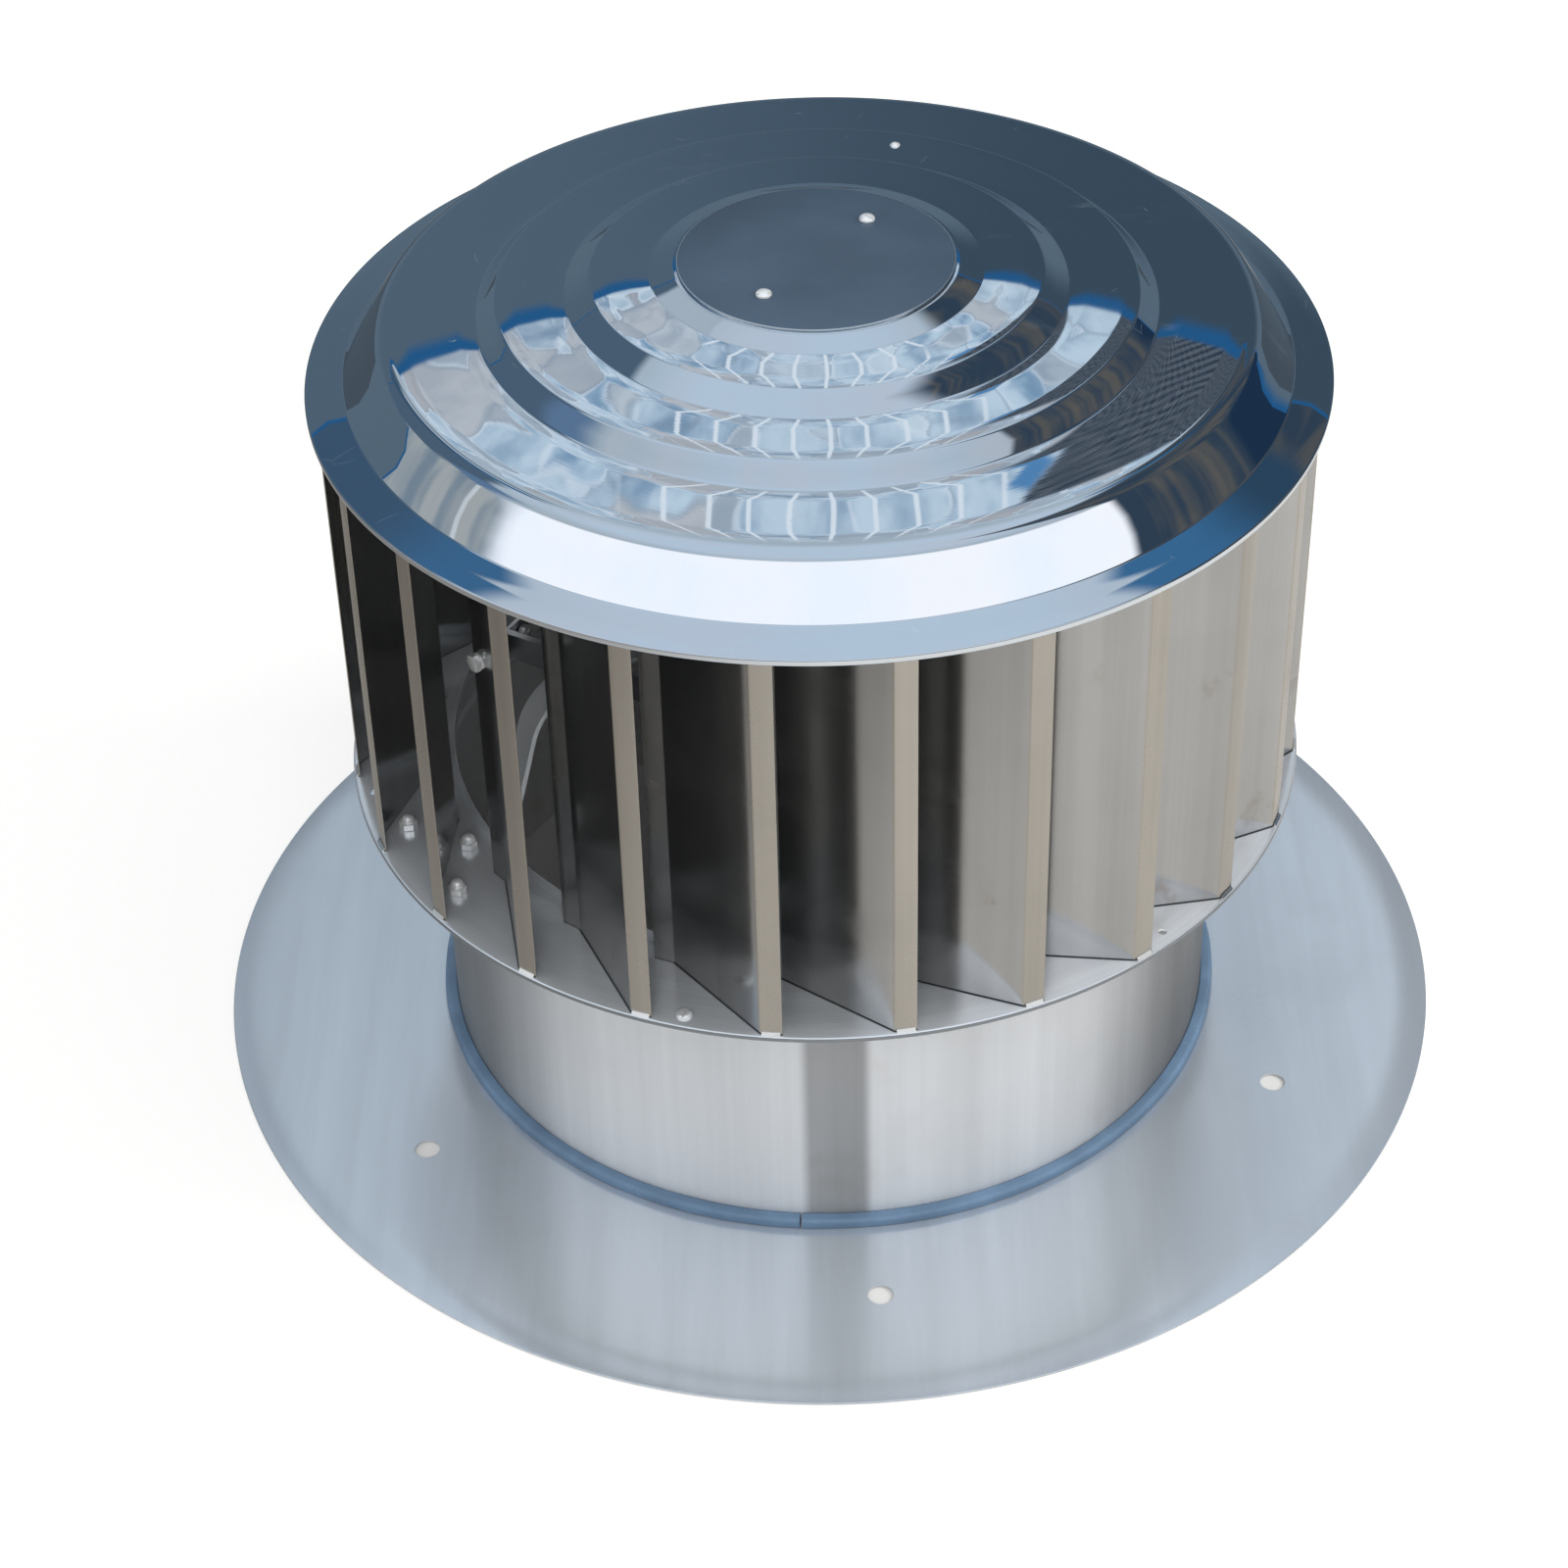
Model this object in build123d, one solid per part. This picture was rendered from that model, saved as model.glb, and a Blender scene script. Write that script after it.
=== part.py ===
from build123d import *
import math
import os

# Roof turbine ventilator: a louvred rotor under a spun dome, turning on a fixed
# shaft above a flanged throat. Millimetres. The spin axis is Z, the underside of
# the flange is z = 0, and azimuth 0 is the front, along -Y. Azimuths grow towards
# +X, which is counterclockwise from above.

# Roof flange
flange_radius = 400.0
flange_thickness = 1.5
flange_bolt_circle = 630.0
flange_hole_diameter = 16.0
flange_bolt_count = 6
flange_first_bolt_azimuth = 5.2

# Throat
throat_radius = 250.0
neck_wall = 1.2
neck_height = 188.0
neck_bead_height = 160.0
neck_bead_radius = 3.0
neck_bead_swell = 2.4
neck_bead_half_height = 4.5
seal_width = 8.0
seal_height = 6.5
seal_edge_radius = 2.6
seal_joint_azimuth = -4.4
seal_joint_gap = 1.2
seam_strip_width = 26.0
seam_strip_thickness = 1.0
seam_strip_foot = 12.0
seam_strip_top = 152.0
seam_azimuth = 180.0
seam_rivet_count = 5
seam_rivet_margin = 14.0

# Fixed bracket in the throat
bracket_arm_count = 3
bracket_first_azimuth = 0.0
bracket_arm_thickness = 5.0
bracket_arm_height = 20.0
bracket_top_drop = 1.0
bracket_hub_radius = 21.0
bracket_foot_width = 48.0
bracket_foot_thickness = 4.0
bracket_bolt_spacing = 30.0

# Shaft and bearings
shaft_radius = 10.0
shaft_head_radius = 16.0
shaft_head_height = 5.0
shaft_stub = 2.0
spacer_wall = 3.45
bearing_outer_radius = 23.5
bearing_width = 14.0
bearing_land = 3.9
bearing_ball_radius = 3.85
bearing_ball_count = 8
bearing_cage_thickness = 1.6
bearing_cage_height = 11.0
lower_bearing_height = 324.0
locknut_radius = 15.0
locknut_height = 8.0
locknut_notch = 4.0
locknut_notch_count = 4
washer_thickness = 2.0

# Rotor rings
rotor_radius = 301.0
ring_inner_radius = 236.0
ring_thickness = 1.2
ring_edge_lip = 3.0
ring_inner_lip = 8.0
ring_fold_radius = 1.4
lower_ring_height = 201.0

# Vanes, each a folded sheet with a hem on both edges
vane_count = 24
vane_first_azimuth = 7.3
vane_sweep_angle = 13.5
vane_outer_radius = 298.0
vane_inner_radius = 250.0
vane_height = 269.8
vane_thickness = 0.8
vane_fold_radius = 1.6
vane_hem = 13.0
vane_tab_height = 2.4
vane_tab_reach = 2.0
vane_tab_width = 11.0
vane_tab_inset = 1.0

# Dome, from the middle outwards: radii, and rises above the top ring
dome_thickness = 1.0
dome_bend_radius = 3.0
dome_opening_radius = 40.0
boss_radius = 84.0
boss_rise = 67.7
step_1_inner_radius = 98.0
step_1_outer_radius = 132.7
step_1_rise = 63.2
step_2_inner_radius = 147.9
step_2_outer_radius = 188.4
step_2_rise = 52.7
step_3_inner_radius = 200.4
step_3_rise = 40.3
step_fall = 1.0
shoulder_radius = 256.5
shoulder_round = 13.0
skirt_radius = 280.8
skirt_rise = 7.9
rim_radius = 303.9
rim_rise = 1.9
rim_hem_return = 3.5
rim_round = 1.2
skirt_foot_round = 2.0
rim_fit = 0.3
cap_radius = 81.9
cap_thickness = 1.5
cap_edge_round = 0.5
cap_screw_radius = 52.0
cap_screw_azimuth = -35.8
cap_screw_count = 2
dome_rivet_radius = 171.3
dome_rivet_azimuth = 163.0
dome_rivet_head_radius = 3.2
dome_rivet_head_height = 1.5
dome_rivet_tail = 0.8

# Rotor arms and bearing housings
arm_count = 3
lower_arm_azimuth = -61.2
arm_width = 20.0
arm_thickness = 3.0
arm_foot_width = 96.0
arm_foot_toe_width = 34.0
arm_foot_inner_radius = 241.0
arm_foot_outer_radius = 291.0
arm_bolt_outer_radius = 277.7
arm_bolt_inner_radius = 251.2
arm_bolt_angle = 7.45
arm_bend_radius = 9.0
arm_rise_radius = 228.5
arm_crown_radius = 199.0
arm_crown_height = 302.0
arm_crown_round = 46.0
arm_shoulder_radius = 60.0
arm_shoulder_round = 40.0
arm_inner_end_radius = 30.0
arm_foot_corner = 26.0
upper_arm_azimuth = -76.2
upper_arm_thickness = 4.0
upper_arm_end_radius = 264.0
upper_arm_bolt_radius = 251.0
spider_hub_inner_radius = 26.5
housing_wall = 6.0
housing_flange_radius = 48.0
housing_flange_thickness = 4.0
housing_shoulder = 3.5
housing_lead = 1.5
housing_bolt_radius = 39.0

# Balance holes in the lower ring, and the weight bolt on one vane
balance_hole_radius = 2.6
balance_circle_radius = 290.8
balance_hole_count = 6
balance_first_azimuth = -16.8
weight_vane = 22
weight_bolt_height = 164.0
weight_bolt_inset = 7.15
weight_washer_radius = 5.4
weight_washer_thickness = 1.6

# Fasteners and fits
bolt_radius = 3.0
nut_across_flats = 10.0
bolt_head_height = 4.0
nut_height = 5.0
nut_crown_radius = 4.5
bolt_end = 1.0
rivet_radius = 2.4
screw_head_radius = 4.8
screw_head_height = 2.6
screw_slot_width = 1.1
screw_slot_depth = 0.7
screw_rim_height = 0.8
screw_crown_height = 0.5
screw_crown_share = 0.82
screw_flat_share = 0.5
screw_reach = 6.0
rivet_head_height = 1.7
rivet_shoulder_share = 0.75
rivet_shoulder_rise = 0.7
rivet_flat_share = 0.35
fit = 0.05
hole_clearance = 0.2
bevel = 1.0
cut_margin = 2.0
ball_gap = 0.1

# Heights and radii that several pieces share
ring_bottom = lower_ring_height - ring_thickness
top_ring_bottom = lower_ring_height + vane_height
top_ring_top = top_ring_bottom + ring_thickness
top_ring_radius = rim_radius - dome_thickness - rim_fit
boss_height = top_ring_top + boss_rise
neck_inner_radius = throat_radius - neck_wall
bracket_top = neck_height - bracket_top_drop
bracket_bottom = bracket_top - bracket_arm_height
bracket_bolt_height = (bracket_top + bracket_bottom) / 2
arm_foot_bottom = ring_bottom - arm_thickness
lower_housing_bottom = lower_bearing_height - bearing_width / 2 - housing_lead
upper_housing_bottom = top_ring_top + upper_arm_thickness
upper_bearing_height = upper_housing_bottom + housing_lead + bearing_width / 2
locknut_bottom = upper_bearing_height + bearing_width / 2 + washer_thickness
shaft_top = locknut_bottom + locknut_height + shaft_stub
spacer_radius = shaft_radius + fit + spacer_wall
ball_circle_radius = (shaft_radius + bearing_outer_radius) / 2
nut_half = nut_across_flats / 2
bolt_hole_radius = bolt_radius + hole_clearance
foot_bolt_across = arm_bolt_outer_radius * math.cos(math.radians(arm_bolt_angle))
foot_bolt_along = arm_bolt_outer_radius * math.sin(math.radians(arm_bolt_angle))
foot_bolt_spots = [(foot_bolt_across, foot_bolt_along), (foot_bolt_across, -foot_bolt_along),
                   (arm_bolt_inner_radius, 0.0)]

parts = {}


def keep(name, *solids):
    """Store a node's solids under its name."""
    parts[name] = list(solids)


def turned_to(azimuth, shape):
    """Turn a shape made with its radius along +X to an azimuth of the ventilator."""
    return Rot(0, 0, azimuth - 90) * shape


def around(count, first_azimuth, shape):
    """Copies of a shape at even azimuths, as separate solids."""
    return [turned_to(first_azimuth + 360.0 / count * index, shape) for index in range(count)]


def revolved(points):
    """A solid of revolution about Z from a closed outline of (radius, height)."""
    outline = [(radius, 0, height) for radius, height in points]
    return revolve(make_face(Polyline(*outline, close=True)), Axis.Z)


def tube(inner, outer, bottom, top):
    """A plain ring or tube about Z."""
    return revolved([(inner, bottom), (outer, bottom), (outer, top), (inner, top)])


def rod(radius, bottom, top, x=0.0, y=0.0):
    """A vertical round bar."""
    return Pos(x, y, (bottom + top) / 2) * Cylinder(radius, top - bottom)


def drill(radius, bottom, top, x=0.0, y=0.0):
    """The cutting shape for an upright round hole from one height to another."""
    return rod(radius, bottom - cut_margin, top + cut_margin, x, y)


def radial_rod(radius, start, end, y=0.0, z=0.0):
    """A round bar along +X, from one distance to another."""
    return Pos((start + end) / 2, y, z) * Rot(0, 90, 0) * Cylinder(radius, end - start)


def sheet_outline(points, radii, thickness):
    """A bent sheet's section: the line given, and its copy one thickness to the right of it."""
    headings = []
    for (x0, y0), (x1, y1) in zip(points, points[1:]):
        length = math.hypot(x1 - x0, y1 - y0)
        headings.append(((x1 - x0) / length, (y1 - y0) / length))
    copy, copy_radii = [], []
    for index, (x, y) in enumerate(points):
        before = headings[max(index - 1, 0)]
        after = headings[min(index, len(headings) - 1)]
        across = (before[1] + after[1], -before[0] - after[0])
        scale = 2 * thickness / (across[0] ** 2 + across[1] ** 2)
        copy.append((x + across[0] * scale, y + across[1] * scale))
        if 0 < index < len(points) - 1:
            turn = before[0] * after[1] - before[1] * after[0]
            copy_radii.append(max(radii[index - 1] + math.copysign(thickness, turn), 0))
    corner_radii = [0, *radii, 0, 0, *reversed(copy_radii), 0]
    return points + copy[::-1], corner_radii


def bent_sheet(points, radii, thickness):
    """The section of a turned or bent sheet in the XZ plane."""
    outline, corner_radii = sheet_outline(points, radii, thickness)
    return make_face(FilletPolyline(*[(x, 0, z) for x, z in outline], radius=corner_radii, close=True))


def hexagon(bottom, top):
    """A nut's or bolt head's six-sided body about Z."""
    return Pos(0, 0, bottom) * extrude(RegularPolygon(nut_half, 6, major_radius=False), top - bottom)


def bolt(head_top, grip_top):
    """A bolt with its head below the grip and a cap nut on top, as one fastener."""
    head = hexagon(head_top - bolt_head_height, head_top)
    shank = rod(bolt_radius, head_top - bolt_head_height / 2, grip_top + nut_height / 2)
    nut = hexagon(grip_top, grip_top + nut_height)
    crown = Pos(0, 0, grip_top + nut_height) * Sphere(nut_crown_radius)
    return head + shank + nut + crown


def screw(seat, depth):
    """A slotted round-headed screw, its head on the seat and its shank below."""
    top = seat + screw_head_height
    head = revolved([
        (0, seat), (screw_head_radius, seat), (screw_head_radius, seat + screw_rim_height),
        (screw_head_radius * screw_crown_share, top - screw_crown_height),
        (screw_head_radius * screw_flat_share, top), (0, top),
    ])
    slot = Pos(0, 0, top) * Box(3 * screw_head_radius, screw_slot_width, 2 * screw_slot_depth)
    return head + rod(rivet_radius, seat - depth, seat + screw_rim_height) - slot


def rivet_head(radius, height):
    """A low rivet head about Z, standing on z = 0."""
    return revolved([(0, 0), (radius, 0), (radius * rivet_shoulder_share, height * rivet_shoulder_rise),
                     (radius * rivet_flat_share, height), (0, height)])


def flange():
    """The flat roof plate with its ring of bolt holes."""
    plate = tube(throat_radius + fit, flange_radius, 0, flange_thickness)
    hole = drill(flange_hole_diameter / 2, 0, flange_thickness, flange_bolt_circle / 2)
    for cut in around(flange_bolt_count, flange_first_bolt_azimuth, hole):
        plate -= cut
    return plate


def neck():
    """The throat tube, with a stiffening bead rolled round it below the bracket."""
    wall = revolve(bent_sheet([
        (throat_radius, neck_height),
        (throat_radius, neck_bead_height + neck_bead_half_height),
        (throat_radius + neck_bead_swell, neck_bead_height),
        (throat_radius, neck_bead_height - neck_bead_half_height),
        (throat_radius, 0),
    ], [neck_bead_radius] * 3, neck_wall), Axis.Z)
    hole = radial_rod(bolt_hole_radius, neck_inner_radius - cut_margin, throat_radius + cut_margin,
                      bracket_bolt_spacing / 2, bracket_bolt_height)
    for cut in around(bracket_arm_count, bracket_first_azimuth, hole + mirror(hole, Plane.XZ)):
        wall -= cut
    return wall - seam_rivets(rivet_radius, neck_inner_radius - cut_margin, throat_radius + cut_margin)


def neck_seal():
    """The soft bead that closes the joint of neck and flange, butted in front."""
    inner = throat_radius + fit
    outer = inner + seal_width
    section = Polyline((inner, 0, flange_thickness), (outer, 0, flange_thickness),
                       (outer, 0, flange_thickness + seal_height),
                       (inner, 0, flange_thickness + seal_height), close=True)
    face = make_face(section)
    top_corners = face.vertices().sort_by(Axis.Z)[-2:]
    outer_corner = top_corners.sort_by(Axis.X)[-1]
    ring = revolve(fillet(outer_corner, seal_edge_radius), Axis.Z)
    joint = Pos(inner + seal_width / 2, 0, flange_thickness) * Box(
        3 * seal_width, seal_joint_gap, 4 * seal_height)
    return ring - turned_to(seal_joint_azimuth, joint)


def seam_strip():
    """The cover strip over the neck's butt joint, at the back."""
    inner = throat_radius + fit
    band = tube(inner, inner + seam_strip_thickness, seam_strip_foot, seam_strip_top)
    width = Pos(inner, 0, 0) * Box(seam_strip_width, seam_strip_width, 2 * seam_strip_top)
    strip = turned_to(seam_azimuth, band & width)
    return strip - seam_rivets(rivet_radius, throat_radius - cut_margin,
                               inner + seam_strip_thickness + cut_margin)


def seam_rivets(radius, start, end, head=0.0):
    """The row of rivet shanks up the seam, with their heads where asked."""
    first = seam_strip_foot + seam_rivet_margin
    pitch = (seam_strip_top - seam_rivet_margin - first) / (seam_rivet_count - 1)
    rivets = []
    for index in range(seam_rivet_count):
        height = first + pitch * index
        rivet = radial_rod(radius, start, end, 0, height)
        if head:
            rivet += Pos(end, 0, height) * Rot(0, 90, 0) * rivet_head(screw_head_radius, head)
        rivets.append(turned_to(seam_azimuth, rivet))
    return rivets


def bracket():
    """The welded spider in the throat: a hub, three bars on edge and their curved feet."""
    middle = (bracket_top + bracket_bottom) / 2
    foot_outer = neck_inner_radius - fit
    foot_inner = foot_outer - bracket_foot_thickness
    spider = rod(bracket_hub_radius, bracket_bottom, bracket_top)
    bar_start = (shaft_radius + bracket_hub_radius) / 2
    bar_end = (foot_inner + foot_outer) / 2
    bar = Pos((bar_start + bar_end) / 2, 0, middle) * Box(
        bar_end - bar_start, bracket_arm_thickness, bracket_arm_height)
    band = tube(foot_inner, foot_outer, bracket_bottom, bracket_top)
    foot = band & Pos(foot_outer, 0, middle) * Box(
        bracket_foot_width, bracket_foot_width, bracket_arm_height)
    hole = radial_rod(bolt_hole_radius, foot_inner - bracket_foot_thickness, foot_outer + cut_margin,
                      bracket_bolt_spacing / 2, bracket_bolt_height)
    arm = bar + foot - hole - mirror(hole, Plane.XZ)
    for piece in around(bracket_arm_count, bracket_first_azimuth, arm):
        spider += piece
    return spider - drill(shaft_radius + fit, bracket_bottom, bracket_top)


def bracket_bolts():
    """The bolts that hold each foot of the bracket to the neck."""
    side = bracket_bolt_spacing / 2
    corner = nut_half / math.cos(math.radians(30))
    seat_out = math.sqrt(throat_radius ** 2 - (side - corner) ** 2) + fit
    foot_inner = neck_inner_radius - fit - bracket_foot_thickness
    seat_in = math.sqrt(foot_inner ** 2 - (side + corner) ** 2) - fit
    nut = Pos(seat_in, side, bracket_bolt_height) * Rot(0, 90, 0) * hexagon(-nut_height, 0)
    head = Pos(seat_out, side, bracket_bolt_height) * Rot(0, 90, 0) * hexagon(0, bolt_head_height)
    shank = radial_rod(bolt_radius, seat_in - nut_height - bolt_end, seat_out + bolt_end, side,
                       bracket_bolt_height)
    fastener = nut + head + shank
    return (around(bracket_arm_count, bracket_first_azimuth, fastener)
            + around(bracket_arm_count, bracket_first_azimuth, mirror(fastener, Plane.XZ)))


def shaft():
    """The fixed shaft, its head under the bracket and its thread end above the locknut."""
    head_bottom = bracket_bottom - shaft_head_height
    return revolved([
        (0, head_bottom), (shaft_head_radius - bevel, head_bottom),
        (shaft_head_radius, head_bottom + bevel), (shaft_head_radius, bracket_bottom),
        (shaft_radius, bracket_bottom), (shaft_radius, shaft_top - bevel),
        (shaft_radius - bevel, shaft_top), (0, shaft_top),
    ])


def locknut():
    """The round locknut on the shaft, notched for a hook spanner."""
    blank = tube(shaft_radius + fit, locknut_radius, locknut_bottom, locknut_bottom + locknut_height)
    notch = Pos(locknut_radius, 0, locknut_bottom) * Box(locknut_notch, locknut_notch, 3 * locknut_height)
    for cut in around(locknut_notch_count, 0, notch):
        blank -= cut
    return blank


def ball_groove(height):
    """The space that the balls of one bearing roll in."""
    circle = Pos(ball_circle_radius, 0, height) * Rot(90, 0, 0) * Circle(bearing_ball_radius + ball_gap)
    return revolve(circle, Axis.Z)


def inner_race(height):
    """A bearing's inner ring, on the shaft."""
    inner = shaft_radius + fit
    half = bearing_width / 2
    return tube(inner, inner + bearing_land, height - half, height + half) - ball_groove(height)


def outer_race(height):
    """A bearing's outer ring, in its housing."""
    half = bearing_width / 2
    ring = tube(bearing_outer_radius - bearing_land, bearing_outer_radius, height - half, height + half)
    return ring - ball_groove(height)


def balls(height):
    """One bearing's balls."""
    ball = Pos(ball_circle_radius, 0, height) * Sphere(bearing_ball_radius)
    return around(bearing_ball_count, 0, ball)


def cage(height):
    """The ring that spaces one bearing's balls."""
    half = bearing_cage_height / 2
    inner = ball_circle_radius - bearing_cage_thickness / 2
    ring = tube(inner, inner + bearing_cage_thickness, height - half, height + half)
    pocket = radial_rod(bearing_ball_radius + ball_gap, inner - cut_margin,
                        inner + bearing_cage_thickness + cut_margin, 0, height)
    for cut in around(bearing_ball_count, 0, pocket):
        ring -= cut
    return ring


def housing(bottom):
    """A flanged bearing housing: its pocket opens downwards, its shoulder rests on the bearing."""
    pocket = bearing_outer_radius + fit
    wall = pocket + housing_wall
    bearing_top = bottom + housing_lead + bearing_width
    top = bearing_top + housing_shoulder
    return revolved([
        (pocket, bottom), (housing_flange_radius, bottom),
        (housing_flange_radius, bottom + housing_flange_thickness),
        (wall, bottom + housing_flange_thickness), (wall, top - bevel), (wall - bevel, top),
        (pocket - housing_shoulder, top), (pocket - housing_shoulder, bearing_top),
        (pocket, bearing_top),
    ])


def housing_bolt_holes(azimuth, bottom, top):
    """The holes for the bolts that join a housing to its arms."""
    return around(arm_count, azimuth, drill(bolt_hole_radius, bottom, top, housing_bolt_radius))


def lower_ring():
    """The ring that carries the vanes, its inner edge turned up and its outer edge down."""
    inner = ring_inner_radius + ring_thickness
    ring = revolve(bent_sheet([
        (inner, lower_ring_height + ring_inner_lip), (inner, lower_ring_height),
        (rotor_radius, lower_ring_height), (rotor_radius, lower_ring_height - ring_edge_lip),
    ], [ring_fold_radius - ring_thickness, ring_fold_radius], ring_thickness), Axis.Z)
    cuts = around(balance_hole_count, balance_first_azimuth,
                  drill(balance_hole_radius, ring_bottom, lower_ring_height, balance_circle_radius))
    for x, y in foot_bolt_spots:
        cuts += around(arm_count, lower_arm_azimuth,
                       drill(bolt_hole_radius, ring_bottom, lower_ring_height, x, y))
    for cut in cuts:
        ring -= cut
    return ring


def top_ring():
    """The ring over the vanes, held in the hem of the dome's rim."""
    inner = ring_inner_radius + ring_thickness
    plate = tube(ring_inner_radius, top_ring_radius, top_ring_bottom, top_ring_top)
    lip = tube(ring_inner_radius, inner, top_ring_bottom - ring_inner_lip, top_ring_top)
    hole = drill(bolt_hole_radius, top_ring_bottom, top_ring_top, upper_arm_bolt_radius)
    ring = plate + lip
    for cut in around(arm_count, upper_arm_azimuth, hole):
        ring -= cut
    return ring


def vane_azimuth(number):
    """Where one vane's outer edge stands."""
    return vane_first_azimuth + 360.0 / vane_count * (number - 1)


def vane(number):
    """One vane: its web swept back, a hem along each edge and a welded tab at each end."""
    back = math.radians(-vane_sweep_angle)
    foot = (vane_inner_radius * math.cos(back), vane_inner_radius * math.sin(back))
    hem_end = (foot[0] + vane_hem * math.sin(back), foot[1] - vane_hem * math.cos(back))
    line = [(vane_outer_radius, vane_hem), (vane_outer_radius, 0), foot, hem_end]
    outline, radii = sheet_outline(line, [vane_fold_radius] * 2, vane_thickness)
    section = make_face(FilletPolyline(*outline, radius=radii, close=True))
    sheet = Pos(0, 0, lower_ring_height) * extrude(section, vane_height)
    root = vane_outer_radius - vane_thickness / 2
    middle = vane_hem - vane_tab_inset - vane_tab_width / 2
    for seat, tip in ((lower_ring_height, lower_ring_height + vane_tab_height),
                      (top_ring_bottom, top_ring_bottom - vane_tab_height)):
        wedge = make_face(Polyline(
            (root, 0, seat), (vane_outer_radius + vane_tab_reach, 0, seat), (vane_outer_radius, 0, tip),
            (root, 0, tip), close=True))
        sheet += Pos(0, middle, 0) * extrude(wedge, vane_tab_width / 2, both=True)
    if number == weight_vane:
        sheet -= at_weight(radial_rod(bolt_radius, -cut_margin, cut_margin))
    return turned_to(vane_azimuth(number), sheet)


def at_weight(shape):
    """Place a shape on the inner hem of a vane, with its own +X pointing outwards."""
    middle = Pos(vane_inner_radius - vane_thickness / 2, -weight_bolt_inset,
                 lower_ring_height + weight_bolt_height)
    return Rot(0, 0, -vane_sweep_angle) * middle * shape


def balance_weight():
    """The bolt, washers and nut that trim the rotor, on the inner hem of one vane."""
    gap = vane_thickness / 2 + fit
    washer = Rot(0, 90, 0) * Cylinder(weight_washer_radius, weight_washer_thickness)
    offset_x = gap + weight_washer_thickness / 2
    outside = gap + weight_washer_thickness
    stack = radial_rod(bolt_radius - fit, -outside - nut_height - bolt_end, outside + bolt_end)
    stack += Pos(offset_x, 0, 0) * washer + Pos(-offset_x, 0, 0) * washer
    stack += Pos(outside, 0, 0) * Rot(0, 90, 0) * hexagon(0, bolt_head_height)
    stack += Pos(-outside, 0, 0) * Rot(0, 90, 0) * hexagon(-nut_height, 0)
    return turned_to(vane_azimuth(weight_vane), at_weight(stack))


def dome():
    """The spun dome: three flat steps, a steep skirt and a flat rim hemmed under the top ring."""
    base = top_ring_top
    hem_height = top_ring_bottom - dome_thickness
    points = [
        (dome_opening_radius, base + boss_rise),
        (boss_radius, base + boss_rise),
        (step_1_inner_radius, base + step_1_rise),
        (step_1_outer_radius, base + step_1_rise - step_fall),
        (step_2_inner_radius, base + step_2_rise),
        (step_2_outer_radius, base + step_2_rise - step_fall),
        (step_3_inner_radius, base + step_3_rise),
        (shoulder_radius, base + step_3_rise - step_fall),
        (skirt_radius, base + skirt_rise),
        (rim_radius, base + rim_rise),
        (rim_radius, hem_height),
        (rim_radius - rim_hem_return, hem_height),
    ]
    radii = [dome_bend_radius] * 6 + [shoulder_round, skirt_foot_round, rim_round, rim_round]
    shell = revolve(bent_sheet(points, radii, dome_thickness), Axis.Z)
    hole = drill(rivet_radius + hole_clearance, base, base + boss_rise, cap_screw_radius)
    for cut in around(cap_screw_count, cap_screw_azimuth, hole):
        shell -= cut
    rivet_hole = rod(rivet_radius, base, base + boss_rise, dome_rivet_radius)
    return shell - turned_to(dome_rivet_azimuth, rivet_hole)


def dome_cap():
    """The round plate over the dome's opening."""
    plate = rod(cap_radius, boss_height, boss_height + cap_thickness)
    plate = fillet(plate.edges().sort_by(Axis.Z)[-1], cap_edge_round)
    hole = drill(rivet_radius + hole_clearance, boss_height, boss_height + cap_thickness, cap_screw_radius)
    for cut in around(cap_screw_count, cap_screw_azimuth, hole):
        plate -= cut
    return plate


def dome_rivet():
    """A single trim rivet on the dome's second step."""
    share = (dome_rivet_radius - step_2_inner_radius) / (step_2_outer_radius - step_2_inner_radius)
    seat = top_ring_top + step_2_rise - step_fall * share + ball_gap
    head = rivet_head(dome_rivet_head_radius, dome_rivet_head_height)
    rivet = Pos(0, 0, seat) * head + rod(rivet_radius, seat - dome_thickness - dome_rivet_tail,
                                         seat + dome_rivet_head_height / 2)
    return turned_to(dome_rivet_azimuth, Pos(dome_rivet_radius, 0, 0) * rivet)


def lower_arm():
    """One swept arm: a broad foot under the lower ring, and a bar up to the bearing housing."""
    hub_height = lower_housing_bottom
    line = [
        (arm_foot_outer_radius, ring_bottom), (arm_rise_radius, ring_bottom),
        (arm_crown_radius, arm_crown_height), (arm_shoulder_radius, hub_height),
        (arm_inner_end_radius, hub_height),
    ]
    face = bent_sheet(line[::-1], [arm_shoulder_round, arm_crown_round, arm_bend_radius], arm_thickness)
    bar = extrude(face, arm_width / 2, both=True)
    half_width = arm_foot_width / 2
    half_toe = arm_foot_toe_width / 2
    corner = arm_foot_outer_radius - arm_foot_corner
    plate = make_face(Polyline(
        (arm_foot_inner_radius, -half_toe), (corner, -half_width), (arm_foot_outer_radius, -half_width),
        (arm_foot_outer_radius, half_width), (corner, half_width), (arm_foot_inner_radius, half_toe),
        close=True))
    arm = bar + Pos(0, 0, arm_foot_bottom) * extrude(plate, arm_thickness)
    arm -= drill(bolt_hole_radius, hub_height - arm_thickness, hub_height, housing_bolt_radius)
    for x, y in foot_bolt_spots:
        arm -= drill(bolt_hole_radius, arm_foot_bottom, ring_bottom, x, y)
    return arm


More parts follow.
